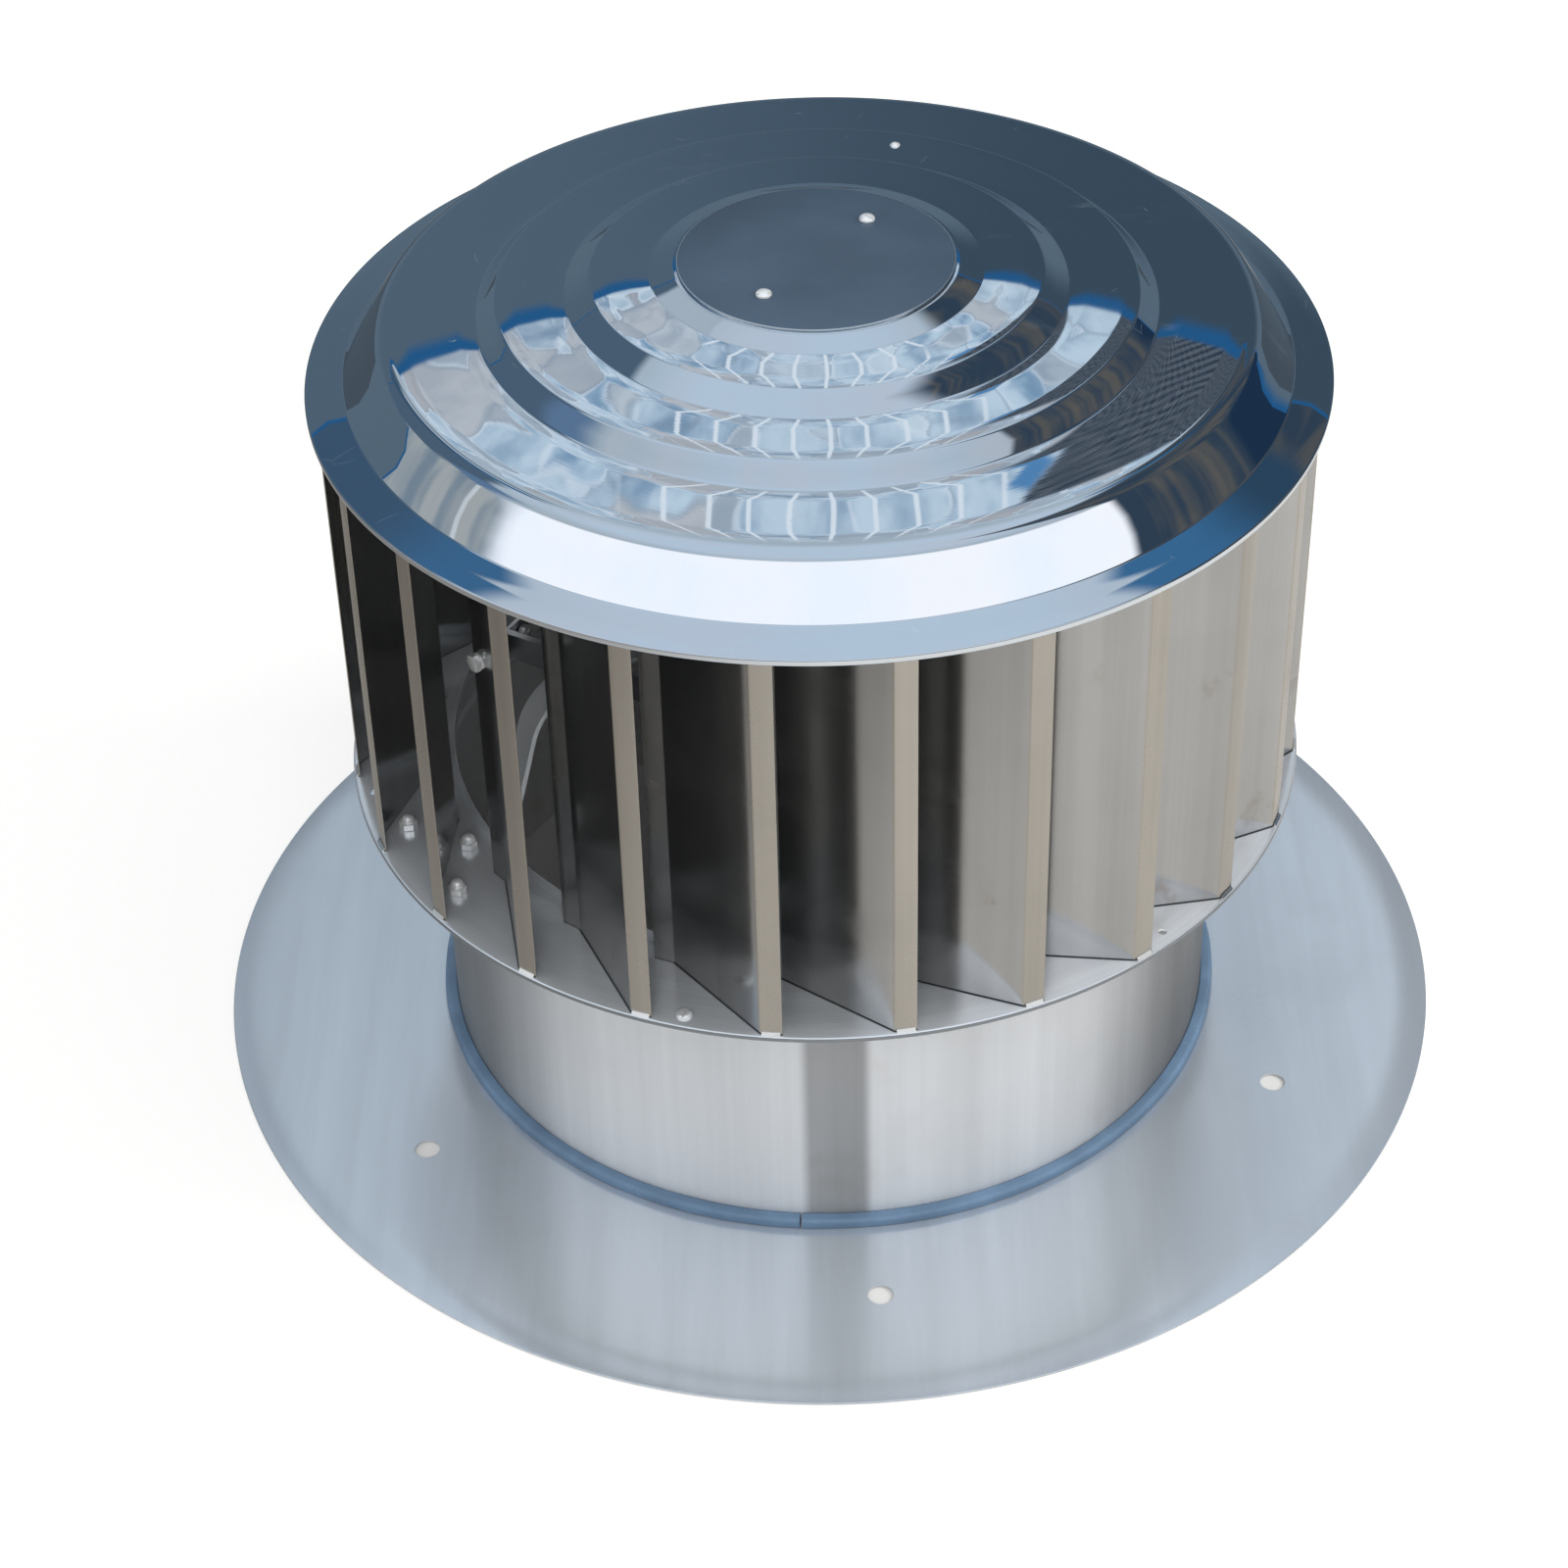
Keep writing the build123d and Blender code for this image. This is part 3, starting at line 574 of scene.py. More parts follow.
def marks_on(nodes, place, size):
    """Smudges and scratches on a material, from the handling marks."""
    marked = nodes.group(handling_group(), {"Position": place, "Size": size})
    return marked["Smudge"], marked["Scratch"]


def grooves_on(nodes, stretched, depth):
    """The brushing's grain and height, from stretched coordinates."""
    brushed = nodes.group(brushing_group(), {"Stretched": stretched, "Depth": depth})
    return brushed["Grain"], brushed["Height"]


def dust_on(nodes, place, amount):
    """How much dust lies at a place."""
    return nodes.group(dust_group(), {"Position": place, "Amount": amount})["Dust"]


def painted_reflection_bands(nodes, azimuth, level, bright, left, right):
    """Painted reflections round an upright tube: a darker band in front, from left to right in degrees, a
    lighter tone elsewhere set by bright, and darker flanks.

    The left flank ends in an upright edge at the tube's left side, where the azimuth starts."""
    ahead = nodes.math("DEGREES", nodes.math("ADD", azimuth, math.pi / 2))
    front = nodes.ramp(ahead, left - 1.2, left + 0.6)
    front = nodes.times(front, nodes.fall(ahead, right - 0.6, right + 1.2))
    soft = nodes.noise(nodes.combine(nodes.times(azimuth, 7.0), nodes.times(level, 1.5)), 1.0, 3.0)
    tone = nodes.linear(front, 0.78 - bright, bright - 0.2)
    tone = nodes.linear(soft, 0.4, tone)
    aside = nodes.math("ABSOLUTE", ahead)
    # Painted reflection: the flanks, 34 to 106 degrees from the front, are darkened.
    flank = nodes.times(nodes.ramp(aside, 34.0, 64.0), nodes.fall(aside, 84.0, 106.0))
    return nodes.times(tone, nodes.linear(flank, -0.6, 1.0))


def steel(name, color, rough, marks=(7.0, 0.12), brush=None, brush_depth=0.2, streak=0.03, waviness=0.0,
          dust=0.0, stain=None, anisotropic=0.0, metallic=1.0, scratched=1.0, bands=None):
    """A stainless finish: tint, brushing, wave, handling marks, dust, heat stains and bands of painted
    reflection.
    """
    material, nodes, shader, place = surface(name)
    shader.inputs["Metallic"].default_value = metallic
    shader.inputs["Anisotropic"].default_value = anisotropic
    shader.inputs["Anisotropic Rotation"].default_value = 0.25
    smudge, scratch = marks_on(nodes, place, marks[0])
    shade = nodes.blend(nodes.times(smudge, 0.35), color, [c * 0.86 for c in color])
    roughness = nodes.linear(smudge, marks[1], rough)
    roughness = nodes.linear(scratch, 0.15 * scratched, roughness)
    height = nodes.times(scratch, -0.05 * scratched)
    azimuth, radius, level = polar(nodes, place)
    if brush is not None:
        split = nodes.add("ShaderNodeSeparateXYZ", {0: place}).outputs
        parts = {"azimuth": azimuth, "radius": radius, "height": level, "x": split[0], "y": split[1]}
        stretched = nodes.combine(*(nodes.times(parts[axis], scale) for axis, scale in brush))
        grain, groove = grooves_on(nodes, stretched, brush_depth)
        height = nodes.math("ADD", height, groove)
        roughness = nodes.linear(nodes.math("SUBTRACT", grain, 0.5), 0.12, roughness)
        shade = nodes.blend(nodes.ramp(grain, 0.36, 0.64), shade, [c * (1 - streak) for c in color])
    if waviness:
        swell = nodes.noise(place, 5.0, 2.0, 0.4)
        height = nodes.linear(swell, waviness, height)
    if stain is not None:
        amount, hue = stain
        spot = nodes.ramp(nodes.noise(place, 13.0, 3.0, 0.6), 0.6, 0.78)
        shade = nodes.blend(nodes.times(spot, amount), shade, hue)
    if dust:
        film = dust_on(nodes, place, dust)
        shade = nodes.blend(film, shade, (0.55, 0.53, 0.5))
        roughness = nodes.linear(film, 0.4, roughness)
    # Painted reflections: the bands scale the colour round the tube.
    if bands is not None:
        shade = nodes.vector("SCALE", shade, painted_reflection_bands(nodes, azimuth, level, *bands))
    join_up(nodes, shader, shade, nodes.math("ADD", roughness, 0.0, clamp=True), height, 0.5)
    return material


def dome_steel(color):
    """The dome's mirror sheet, with the faint rings that spinning leaves and dried water marks."""
    material, nodes, shader, place = surface("Mirror dome sheet")
    smudge, scratch = marks_on(nodes, place, 5.0)
    azimuth, radius, _ = polar(nodes, place)
    rings = nodes.noise(nodes.combine(nodes.times(radius, 900.0), nodes.times(azimuth, 0.7)), 1.0, 2.0)
    swell = nodes.noise(place, 7.0, 2.0, 0.4)
    height = nodes.linear(swell, 0.5, nodes.times(rings, 0.003))
    height = nodes.linear(scratch, -0.02, height)
    roughness = nodes.linear(smudge, 0.018, 0.012)
    roughness = nodes.linear(scratch, 0.1, roughness)
    wiped = nodes.vector("MULTIPLY", place, (9.0, 26.0, 9.0))
    film = nodes.times(nodes.ramp(nodes.noise(wiped, 1.0, 6.0, 0.72), 0.56, 0.74), smudge)
    dirt = nodes.math("MAXIMUM", nodes.times(film, 0.17), nodes.times(scratch, 0.12))
    nodes.tree.links.new(nodes.math("SUBTRACT", 1.0, dirt), shader.inputs["Metallic"])
    shade = nodes.blend(nodes.times(smudge, 0.4), color, [c * 0.92 for c in color])
    join_up(nodes, shader, shade, roughness, height, 0.35)
    return material


def cap_steel(color, bright, edge):
    """The cap plate: a dull slate film over the sheet, with the bare bright edge left showing."""
    material, nodes, shader, place = surface("Cap plate")
    smudge, scratch = marks_on(nodes, place, 11.0)
    azimuth, radius, _ = polar(nodes, place)
    bare = nodes.ramp(radius, edge - 0.9 * MM, edge - 0.5 * MM)
    cloud = nodes.ramp(nodes.noise(place, 14.0, 3.0, 0.55), 0.3, 0.75)
    shade = nodes.blend(cloud, color, [c * 1.22 for c in color])
    shade = nodes.blend(nodes.times(scratch, 0.5), shade, [c * 2.2 for c in color])
    shade = nodes.blend(bare, shade, bright)
    nodes.tree.links.new(nodes.math("MAXIMUM", bare, 0.3), shader.inputs["Metallic"])
    roughness = nodes.linear(smudge, 0.08, 0.36)
    roughness = nodes.linear(bare, -0.2, roughness)
    turned = nodes.noise(nodes.combine(nodes.times(radius, 700.0), nodes.times(azimuth, 0.5)), 1.0, 2.0)
    join_up(nodes, shader, shade, roughness, nodes.times(turned, 0.05), 0.3)
    return material


def vane_steel(color, hem_color, sizes):
    """Polished vane sheet: drawn lines down its height, warmer hems, scuffs, a tone for each vane, painted
    shade along its foot and near-white tabs as a painted glint.
    """
    material, nodes, shader, place = surface("Polished vane sheet")
    shader.inputs["Metallic"].default_value = 0.97
    smudge, scratch = marks_on(nodes, place, 11.0)
    azimuth, radius, level = polar(nodes, place)
    hem = nodes.ramp(radius, sizes.outer - 1.4 * MM, sizes.outer - 0.5 * MM)
    tone = nodes.add("ShaderNodeAttribute", attribute_name="vane_tone").outputs["Fac"]
    lines = nodes.combine(nodes.times(level, 3.0), nodes.times(radius, 420.0), nodes.times(azimuth, 110.0))
    grain, groove = grooves_on(nodes, lines, 0.06)
    broad = nodes.noise(nodes.vector("MULTIPLY", lines, (0.5, 0.12, 0.2)), 1.0, 2.0)
    worn = nodes.noise(place, 17.0, 4.0, 0.65)
    factor = nodes.linear(grain, 0.34, 0.60)
    factor = nodes.linear(broad, 0.26, factor)
    factor = nodes.linear(worn, 0.14, factor)
    factor = nodes.linear(tone, 0.08, factor)
    shade = nodes.vector("SCALE", nodes.blend(hem, color, hem_color), factor)
    spot = nodes.ramp(nodes.noise(place, 19.0, 4.0, 0.7), 0.62, 0.76)
    shade = nodes.blend(nodes.times(spot, 0.45), shade, (0.25, 0.19, 0.14))
    # Painted shade: the sheet darkens over its lowest 1.4 mm, where it stands on the ring, but not on the
    # outer hem's face.
    foot = nodes.ramp(level, sizes.bottom + 0.4 * MM, sizes.bottom + 1.4 * MM, 0.6, 0.0)
    foot = nodes.times(foot, nodes.fall(radius, sizes.outer - 1.0 * MM, sizes.outer))
    shade = nodes.blend(foot, shade, (0.03, 0.032, 0.035))
    # Painted glint: the welded tabs that stand out past the hem are near white.
    tab = nodes.ramp(radius, sizes.outer + 0.45 * MM, sizes.outer + 0.7 * MM)
    shade = nodes.blend(tab, shade, (0.95, 0.93, 0.88))
    roughness = nodes.linear(smudge, 0.1, 0.16)
    roughness = nodes.linear(scratch, 0.15, roughness)
    roughness = nodes.linear(hem, 0.1, roughness)
    height = nodes.linear(nodes.noise(place, 5.0, 2.0, 0.4), 0.4, groove)
    join_up(nodes, shader, shade, roughness, nodes.linear(scratch, -0.05, height), 0.5)
    return material


def foot_line(nodes, azimuth, radius, vanes, half):
    """A mask along the line on the ring where each vane stands."""
    step = 2 * math.pi / vanes.count
    turned = nodes.math("SUBTRACT", azimuth, vanes.first - math.pi / 2)
    ahead = nodes.math("WRAP", turned, step, 0.0)
    behind = nodes.math("SUBTRACT", ahead, step)
    heel = Vector((math.cos(-vanes.sweep), math.sin(-vanes.sweep))) * vanes.inner
    along = (heel - Vector((vanes.outer, 0.0))).normalized()
    across = nodes.times(radius, nodes.math("COSINE", behind))
    across = nodes.times(nodes.math("SUBTRACT", across, vanes.outer), -along.y)
    aside = nodes.times(nodes.times(radius, nodes.math("SINE", behind)), along.x)
    web = nodes.math("ABSOLUTE", nodes.math("ADD", across, aside))
    web = nodes.fall(web, half, half * 1.6)
    depth = nodes.math("SUBTRACT", nodes.times(radius, nodes.math("COSINE", ahead)), vanes.outer)
    hem = nodes.fall(nodes.math("ABSOLUTE", depth), half, half * 1.6)
    width = nodes.times(ahead, radius)
    hem = nodes.times(hem, nodes.fall(width, vanes.hem, vanes.hem * 1.05))
    return nodes.math("MAXIMUM", web, hem)


def ring_steel(color, vanes):
    """Polished ring sheet: turned lines, a dark rougher line of painted shade along each vane's foot, and
    painted shade on the turned-down outer edge.
    """
    material, nodes, shader, place = surface("Polished ring sheet")
    shader.inputs["Metallic"].default_value = 0.66
    smudge, scratch = marks_on(nodes, place, 8.0)
    azimuth, radius, level = polar(nodes, place)
    lines = nodes.combine(nodes.times(radius, 600.0), nodes.times(azimuth, 3.0), nodes.times(level, 300.0))
    grain, groove = grooves_on(nodes, lines, 0.05)
    shade = nodes.blend(nodes.ramp(grain, 0.35, 0.65), color, [c * 0.9 for c in color])
    spot = nodes.ramp(nodes.noise(place, 15.0, 3.0, 0.6), 0.6, 0.78)
    shade = nodes.blend(nodes.times(spot, 0.25), shade, (0.4, 0.34, 0.28))
    # Painted shade: the turned-down outer edge is darkened.
    shaded_lip = nodes.times(nodes.ramp(radius, RING_OUTER - 0.7 * MM, RING_OUTER - 0.3 * MM),
                      nodes.fall(level, vanes.bottom - 0.7 * MM, vanes.bottom - 0.3 * MM))
    shade = nodes.blend(nodes.times(shaded_lip, 0.8), shade, (0.07, 0.085, 0.1))
    # Painted shade: a dark line along each vane's foot stands for the shade in the joint; the line is also
    # rougher.
    joint = nodes.times(foot_line(nodes, azimuth, radius, vanes, 0.6 * MM),
                        nodes.fall(level, vanes.bottom + 4 * MM, vanes.bottom + 5 * MM))
    shade = nodes.blend(nodes.times(joint, 0.85), shade, (0.02, 0.022, 0.025))
    roughness = nodes.linear(smudge, 0.08, 0.2)
    roughness = nodes.linear(joint, 0.4, roughness)
    height = nodes.linear(nodes.noise(place, 5.0, 2.0, 0.4), 0.3, groove)
    join_up(nodes, shader, shade, roughness, nodes.linear(scratch, -0.05, height), 0.5)
    return material


def seal_compound(color):
    """The soft blue-grey seal, slightly uneven."""
    material, nodes, shader, place = surface("Seal compound")
    shader.inputs["Specular IOR Level"].default_value = 0.4
    patch = nodes.noise(place, 24.0, 4.0, 0.6)
    shade = nodes.blend(nodes.ramp(patch, 0.35, 0.7), color, [c * 1.35 for c in color])
    shade = nodes.blend(dust_on(nodes, place, 0.2), shade, (0.34, 0.37, 0.4))
    roughness = nodes.linear(patch, 0.3, 0.32)
    join_up(nodes, shader, shade, roughness, nodes.noise(place, 90.0, 3.0, 0.6), 0.25, 0.0006)
    return material


# Geometry node trees

def geometry_tree(name, inputs):
    """A geometry tree with a geometry in and out, and named inputs."""
    tree = bpy.data.node_groups.new(name, "GeometryNodeTree")
    tree.interface.new_socket(name="Geometry", in_out="INPUT", socket_type="NodeSocketGeometry")
    for label, kind, default in inputs:
        socket = tree.interface.new_socket(name=label, in_out="INPUT", socket_type=kind)
        if default is not None:
            socket.default_value = default
    tree.interface.new_socket(name="Geometry", in_out="OUTPUT", socket_type="NodeSocketGeometry")
    nodes = Nodes(tree)
    return tree, nodes, nodes.add("NodeGroupInput").outputs


def ended(nodes, geometry, material):
    """Close a geometry tree: real meshes, smooth, with their material."""
    real = nodes.add("GeometryNodeRealizeInstances", {"Geometry": geometry})
    smooth = nodes.add("GeometryNodeSetShadeSmooth", {"Geometry": real.outputs[0]})
    coated = nodes.add("GeometryNodeSetMaterial", {"Geometry": smooth.outputs[0], "Material": material})
    leave = nodes.add("NodeGroupOutput")
    nodes.tree.links.new(coated.outputs[0], leave.inputs[0])


def with_tree(piece, tree, values):
    """Put a geometry tree on a piece, with its inputs set by their identifiers."""
    modifier = piece.modifiers.new(tree.name, "NODES")
    modifier.node_group = tree
    sockets = {item.name: item.identifier for item in tree.interface.items_tree
               if item.item_type == "SOCKET" and item.in_out == "INPUT"}
    for label, value in values.items():
        modifier[sockets[label]] = value
    return piece


def vane_tree():
    """Folded vanes: one section raised to its height, with its tabs, repeated round the axis."""
    tree, nodes, given = geometry_tree("Folded vanes", [
        ("Count", INTEGER, 24), ("First", FLOAT, 0.0), ("Bottom", FLOAT, 0.2), ("Height", FLOAT, 0.27),
        ("Rows", INTEGER, VANE_ROWS), ("Tabs", "NodeSocketObject", None), ("Waviness", FLOAT, 0.0003),
        ("Seed", INTEGER, 0), ("Material", "NodeSocketMaterial", None)])
    low = nodes.combine(z=given["Bottom"])
    high = nodes.combine(z=nodes.math("ADD", given["Bottom"], given["Height"]))
    line = nodes.add("GeometryNodeCurvePrimitiveLine", {"Start": low, "End": high})
    line = nodes.add("GeometryNodeResampleCurve", {"Curve": line.outputs[0], "Count": given["Rows"]})
    sheet = nodes.add("GeometryNodeCurveToMesh", {
        "Curve": line.outputs[0], "Profile Curve": given["Geometry"], "Fill Caps": True})
    joined = nodes.add("GeometryNodeJoinGeometry")
    tree.links.new(sheet.outputs[0], joined.inputs[0])
    tabs = nodes.add("GeometryNodeObjectInfo", {"Object": given["Tabs"]})
    tree.links.new(tabs.outputs["Geometry"], joined.inputs[0])
    points = nodes.add("GeometryNodePoints", {"Count": given["Count"]})
    index = nodes.add("GeometryNodeInputIndex").outputs[0]
    step = nodes.math("DIVIDE", 2 * math.pi, given["Count"])
    angle = nodes.linear(index, step, given["First"])
    turned = nodes.add("FunctionNodeEulerToRotation", {0: nodes.combine(z=angle)}).outputs[0]
    row = nodes.add("GeometryNodeInstanceOnPoints", {
        "Points": points.outputs[0], "Instance": joined.outputs[0], "Rotation": turned})
    tone = nodes.add("FunctionNodeRandomValue", {"ID": index, "Seed": given["Seed"]}, data_type="FLOAT")
    toned = nodes.add("GeometryNodeStoreNamedAttribute", {
        "Geometry": row.outputs[0], "Name": "vane_tone", "Value": tone.outputs[1]},
        data_type="FLOAT", domain="INSTANCE")
    real = nodes.add("GeometryNodeRealizeInstances", {"Geometry": toned.outputs[0]})
    place = nodes.add("GeometryNodeInputPosition").outputs[0]
    drift = nodes.add("ShaderNodeTexNoise", {
        "Vector": place, "W": nodes.times(given["Seed"], 3.7), "Scale": 9.0, "Detail": 1.0},
        noise_dimensions="4D")
    centred = nodes.vector("SUBTRACT", drift.outputs["Color"], (0.5, 0.5, 0.5))
    flat = nodes.vector("MULTIPLY", centred, (1.0, 1.0, 0.0))
    moved = nodes.add("GeometryNodeSetPosition", {
        "Geometry": real.outputs[0], "Offset": nodes.vector("SCALE", flat, given["Waviness"])})
    ended(nodes, moved.outputs[0], given["Material"])
    return tree


def fastener_tree():
    """One pattern piece repeated on marked points, each turned a little about its own axis."""
    tree, nodes, given = geometry_tree("Fasteners", [
        ("Pattern", "NodeSocketObject", None), ("Twist", FLOAT, 3.0), ("Seed", INTEGER, 0),
        ("Material", "NodeSocketMaterial", None)])
    pattern = nodes.add("GeometryNodeObjectInfo", {"Object": given["Pattern"], "As Instance": True})
    aim = nodes.add("GeometryNodeInputNamedAttribute", {"Name": "aim"}, data_type="FLOAT_VECTOR")
    facing = nodes.add("FunctionNodeEulerToRotation", {0: aim.outputs[0]}).outputs[0]
    chance = nodes.add("FunctionNodeRandomValue", {
        2: 0.0, 3: given["Twist"], "ID": nodes.add("GeometryNodeInputIndex").outputs[0],
        "Seed": given["Seed"]}, data_type="FLOAT")
    twist = nodes.add("FunctionNodeEulerToRotation", {0: nodes.combine(z=chance.outputs[1])}).outputs[0]
    turned = nodes.add("FunctionNodeRotateRotation", {0: facing, 1: twist}, rotation_space="LOCAL")
    row = nodes.add("GeometryNodeInstanceOnPoints", {
        "Points": given["Geometry"], "Instance": pattern.outputs["Geometry"],
        "Rotation": turned.outputs[0]})
    ended(nodes, row.outputs[0], given["Material"])
    return tree


def fasteners(name, places, pattern, material, seed=1):
    """Copies of one pattern piece at places given as matrices, as one plain mesh."""
    tree = bpy.data.node_groups.get("Fasteners") or fastener_tree()
    mesh = bpy.data.meshes.new(name)
    mesh.from_pydata([matrix.translation[:] for matrix in places], [], [])
    aim = mesh.attributes.new("aim", "FLOAT_VECTOR", "POINT")
    for item, matrix in zip(aim.data, places):
        item.vector = matrix.to_euler()
    values = {"Pattern": pattern, "Twist": 6.28, "Seed": seed, "Material": material}
    piece = settled(with_tree(placed(name, mesh), tree, values))
    aim = piece.data.attributes.get("aim")
    if aim:
        piece.data.attributes.remove(aim)
    return smoothed(piece)


# Pieces

def dome_line(sizes):
    """The dome's upper line from its opening to its hem, and the radii of its bends."""
    steps = [(84.0, 67.7), (98.0, 63.2), (132.7, 62.2), (147.9, 52.7), (188.4, 51.7), (200.4, 40.3),
             (256.5, 39.3), (280.8, 7.9)]
    line = [(sizes.opening, sizes.base + CAP_SEAT)]
    line += [(radius * MM, sizes.base + rise * MM) for radius, rise in steps]
    rim = sizes.rim_radius
    hem = sizes.base - RING_SHEET - sizes.thickness
    line += [(rim, sizes.base + 1.9 * MM), (rim, hem), (rim - 3.5 * MM, hem)]
    radii = [sizes.bend] * 6 + [13 * MM, 2 * MM, 1.2 * MM, 1.2 * MM]
    return line, radii


class VentilatorOperator(bpy.types.Operator):
    """Shared lookups of the ventilator's operators"""
    bl_idname = "ventilator.base"
    bl_label = "Ventilator piece"
    bl_options = {"INTERNAL"}

    @property
    def settings(self):
        """The scene's settings for the ventilator."""
        return bpy.context.scene.ventilator


class BuildStage(VentilatorOperator):
    """Camera, pale floor, soft lamps and the surroundings that the metal mirrors"""
    bl_idname = "ventilator.stage"
    bl_label = "Stage"

    def execute(self, context):
        stage = self.settings.stage
        self.camera(stage)
        self.floor(stage)
        self.lamp("front_softbox", (0.0, -2.3, 1.9), (0.0, 0.0, 0.3), 1.4, 26)
        self.lamp("side_softbox", (2.3, -0.2, 1.9), (0.0, 0.0, 0.25), 1.3, 42)
        self.world()
        return {"FINISHED"}

    def camera(self, stage):
        """Place the camera at the photograph's viewing angle."""
        data = bpy.data.cameras.new("camera")
        data.lens = stage.lens
        data.sensor_width = 36.0
        data.clip_start, data.clip_end = 0.01, 100.0
        camera = placed("camera", data)
        flat = math.cos(stage.pitch)
        forward = Vector((math.sin(stage.yaw) * flat, math.cos(stage.yaw) * flat, -math.sin(stage.pitch)))
        level = Vector((math.cos(stage.yaw), -math.sin(stage.yaw), 0.0))
        raised = level.cross(forward)
        right = level * math.cos(stage.roll) + raised * math.sin(stage.roll)
        up = raised * math.cos(stage.roll) - level * math.sin(stage.roll)
        matrix = Matrix((right, up, -forward)).transposed().to_4x4()
        matrix.translation = (0.0, -stage.distance, stage.height)
        camera.matrix_world = matrix
        bpy.context.scene.camera = camera

    def floor(self, stage):
        """Lay a plain pale floor, white to the camera and darker far off in the metal's reflections."""
        half = stage.floor / 2
        drop = -0.0005
        corners = [(-half, -half, drop), (half, -half, drop), (half, half, drop), (-half, half, drop)]
        floor = mesh_object("studio_floor", corners, [(0, 1, 2, 3)])
        material, nodes, shader, place = surface("Studio floor")
        shader.inputs["Roughness"].default_value = 0.9
        shader.inputs["Specular IOR Level"].default_value = 0.1
        paths = nodes.add("ShaderNodeLightPath").outputs
        reach = nodes.vector("LENGTH", place)
        side, ahead, _ = nodes.add("ShaderNodeSeparateXYZ", {0: place}).outputs
        pale = (0.66, 0.65, 0.63)
        # Painted reflection: as the metal mirrors it, the floor is darker to the left and dark blue-grey
        # far off behind the object.
        mirrored = nodes.blend(nodes.ramp(side, 0.1, -0.9), (0.60, 0.58, 0.55), (0.27, 0.25, 0.23))
        far = nodes.times(nodes.ramp(reach, 1.0, 1.7), nodes.ramp(ahead, 0.0, 0.5))
        mirrored = nodes.blend(far, mirrored, (0.07, 0.095, 0.12))
        shade = nodes.blend(paths["Is Glossy Ray"], pale, mirrored)
        nodes.tree.links.new(shade, shader.inputs["Base Color"])
        outside = nodes.math("GREATER_THAN", reach, self.settings.throat.flange_radius - 2 * MM)
        glow = nodes.times(nodes.times(paths["Is Camera Ray"], outside),
                           nodes.ramp(reach, 0.8, 2.2, 0.38, 0.75))
        lift = nodes.add("ShaderNodeEmission", {"Color": (1, 1, 1, 1), "Strength": glow})
        both = nodes.add("ShaderNodeAddShader", {0: shader.outputs[0], 1: lift.outputs[0]})
        leave = next(n for n in nodes.tree.nodes if n.type == "OUTPUT_MATERIAL")
        nodes.tree.links.new(both.outputs[0], leave.inputs["Surface"])
        floor.data.materials.append(material)

    def lamp(self, name, place, target, side, power):
        """Hang one soft square lamp."""
        data = bpy.data.lights.new(name, "AREA")
        data.shape = "SQUARE"
        data.size = side
        data.energy = power
        lamp = placed(name, data)
        lamp.location = place
        lamp.visible_glossy = False
        lamp.rotation_euler = (Vector(target) - Vector(place)).to_track_quat("-Z", "Y").to_euler()

    def world(self):
        """White to the camera, plain light on matt surfaces, and a yard for the metal to mirror."""
        world = bpy.data.worlds.new("studio")
        bpy.context.scene.world = world
        world.use_nodes = True
        nodes = Nodes(world.node_tree)
        direction = nodes.add("ShaderNodeTexCoord").outputs["Generated"]
        x, y, z = nodes.add("ShaderNodeSeparateXYZ", {0: direction}).outputs
        level = nodes.math("DEGREES", nodes.math("ARCSINE", z))
        aside = nodes.math("DEGREES", nodes.math("ARCTAN2", x, y))
        cloud = nodes.ramp(nodes.noise(direction, 2.6, 4.0, 0.6), 0.42, 0.66)
        mirrored = self.open_sky(nodes, level, aside, y, z, cloud)
        mirrored = self.lattice(nodes, mirrored, level, aside)
        mirrored = self.dark_masses(nodes, mirrored, level, aside)
        mirrored = self.far_wall(nodes, mirrored, level, aside, y, z)
        paths = nodes.add("ShaderNodeLightPath").outputs
        seen = nodes.blend(paths["Is Glossy Ray"], (0.86, 0.88, 0.90), mirrored)
        seen = nodes.blend(paths["Is Camera Ray"], seen, (1.0, 1.0, 1.0))
        back = nodes.add("ShaderNodeBackground", {"Color": seen, "Strength": 1.0})
        leave = nodes.add("ShaderNodeOutputWorld")
        nodes.tree.links.new(back.outputs[0], leave.inputs["Surface"])

    def open_sky(self, nodes, level, aside, y, z, cloud):
        """A pale overcast sky; behind the camera a white band, slate below it and pale ground."""
        away = nodes.math("ABSOLUTE", aside)
        sky = nodes.blend(nodes.ramp(level, 40, 66), (0.44, 0.52, 0.58), (0.57, 0.68, 0.80))
        sky = nodes.blend(nodes.times(cloud, 0.45), sky, (0.62, 0.61, 0.66))
        cool = nodes.times(nodes.ramp(aside, -96, -84), nodes.fall(aside, -72, -64))
        cool = nodes.times(cool, nodes.fall(level, 40, 46))
        sky = nodes.blend(cool, sky, (0.125, 0.21, 0.34))
        band = nodes.math("SUBTRACT", z, nodes.linear(y, -0.379, 0.353))
        behind = nodes.ramp(away, 93, 103)
        white = nodes.blend(nodes.times(cloud, 0.5), (1.18, 1.16, 1.18), (1.02, 1.1, 1.24))
        sky = nodes.blend(nodes.times(behind, nodes.ramp(band, 0.2, 0.1)), sky, white)
        sky = nodes.blend(nodes.times(behind, nodes.ramp(band, -0.05, -0.1)), sky, (0.2, 0.26, 0.32))
        return nodes.blend(nodes.times(behind, nodes.ramp(level, 13, 3)), sky, (0.55, 0.54, 0.52))

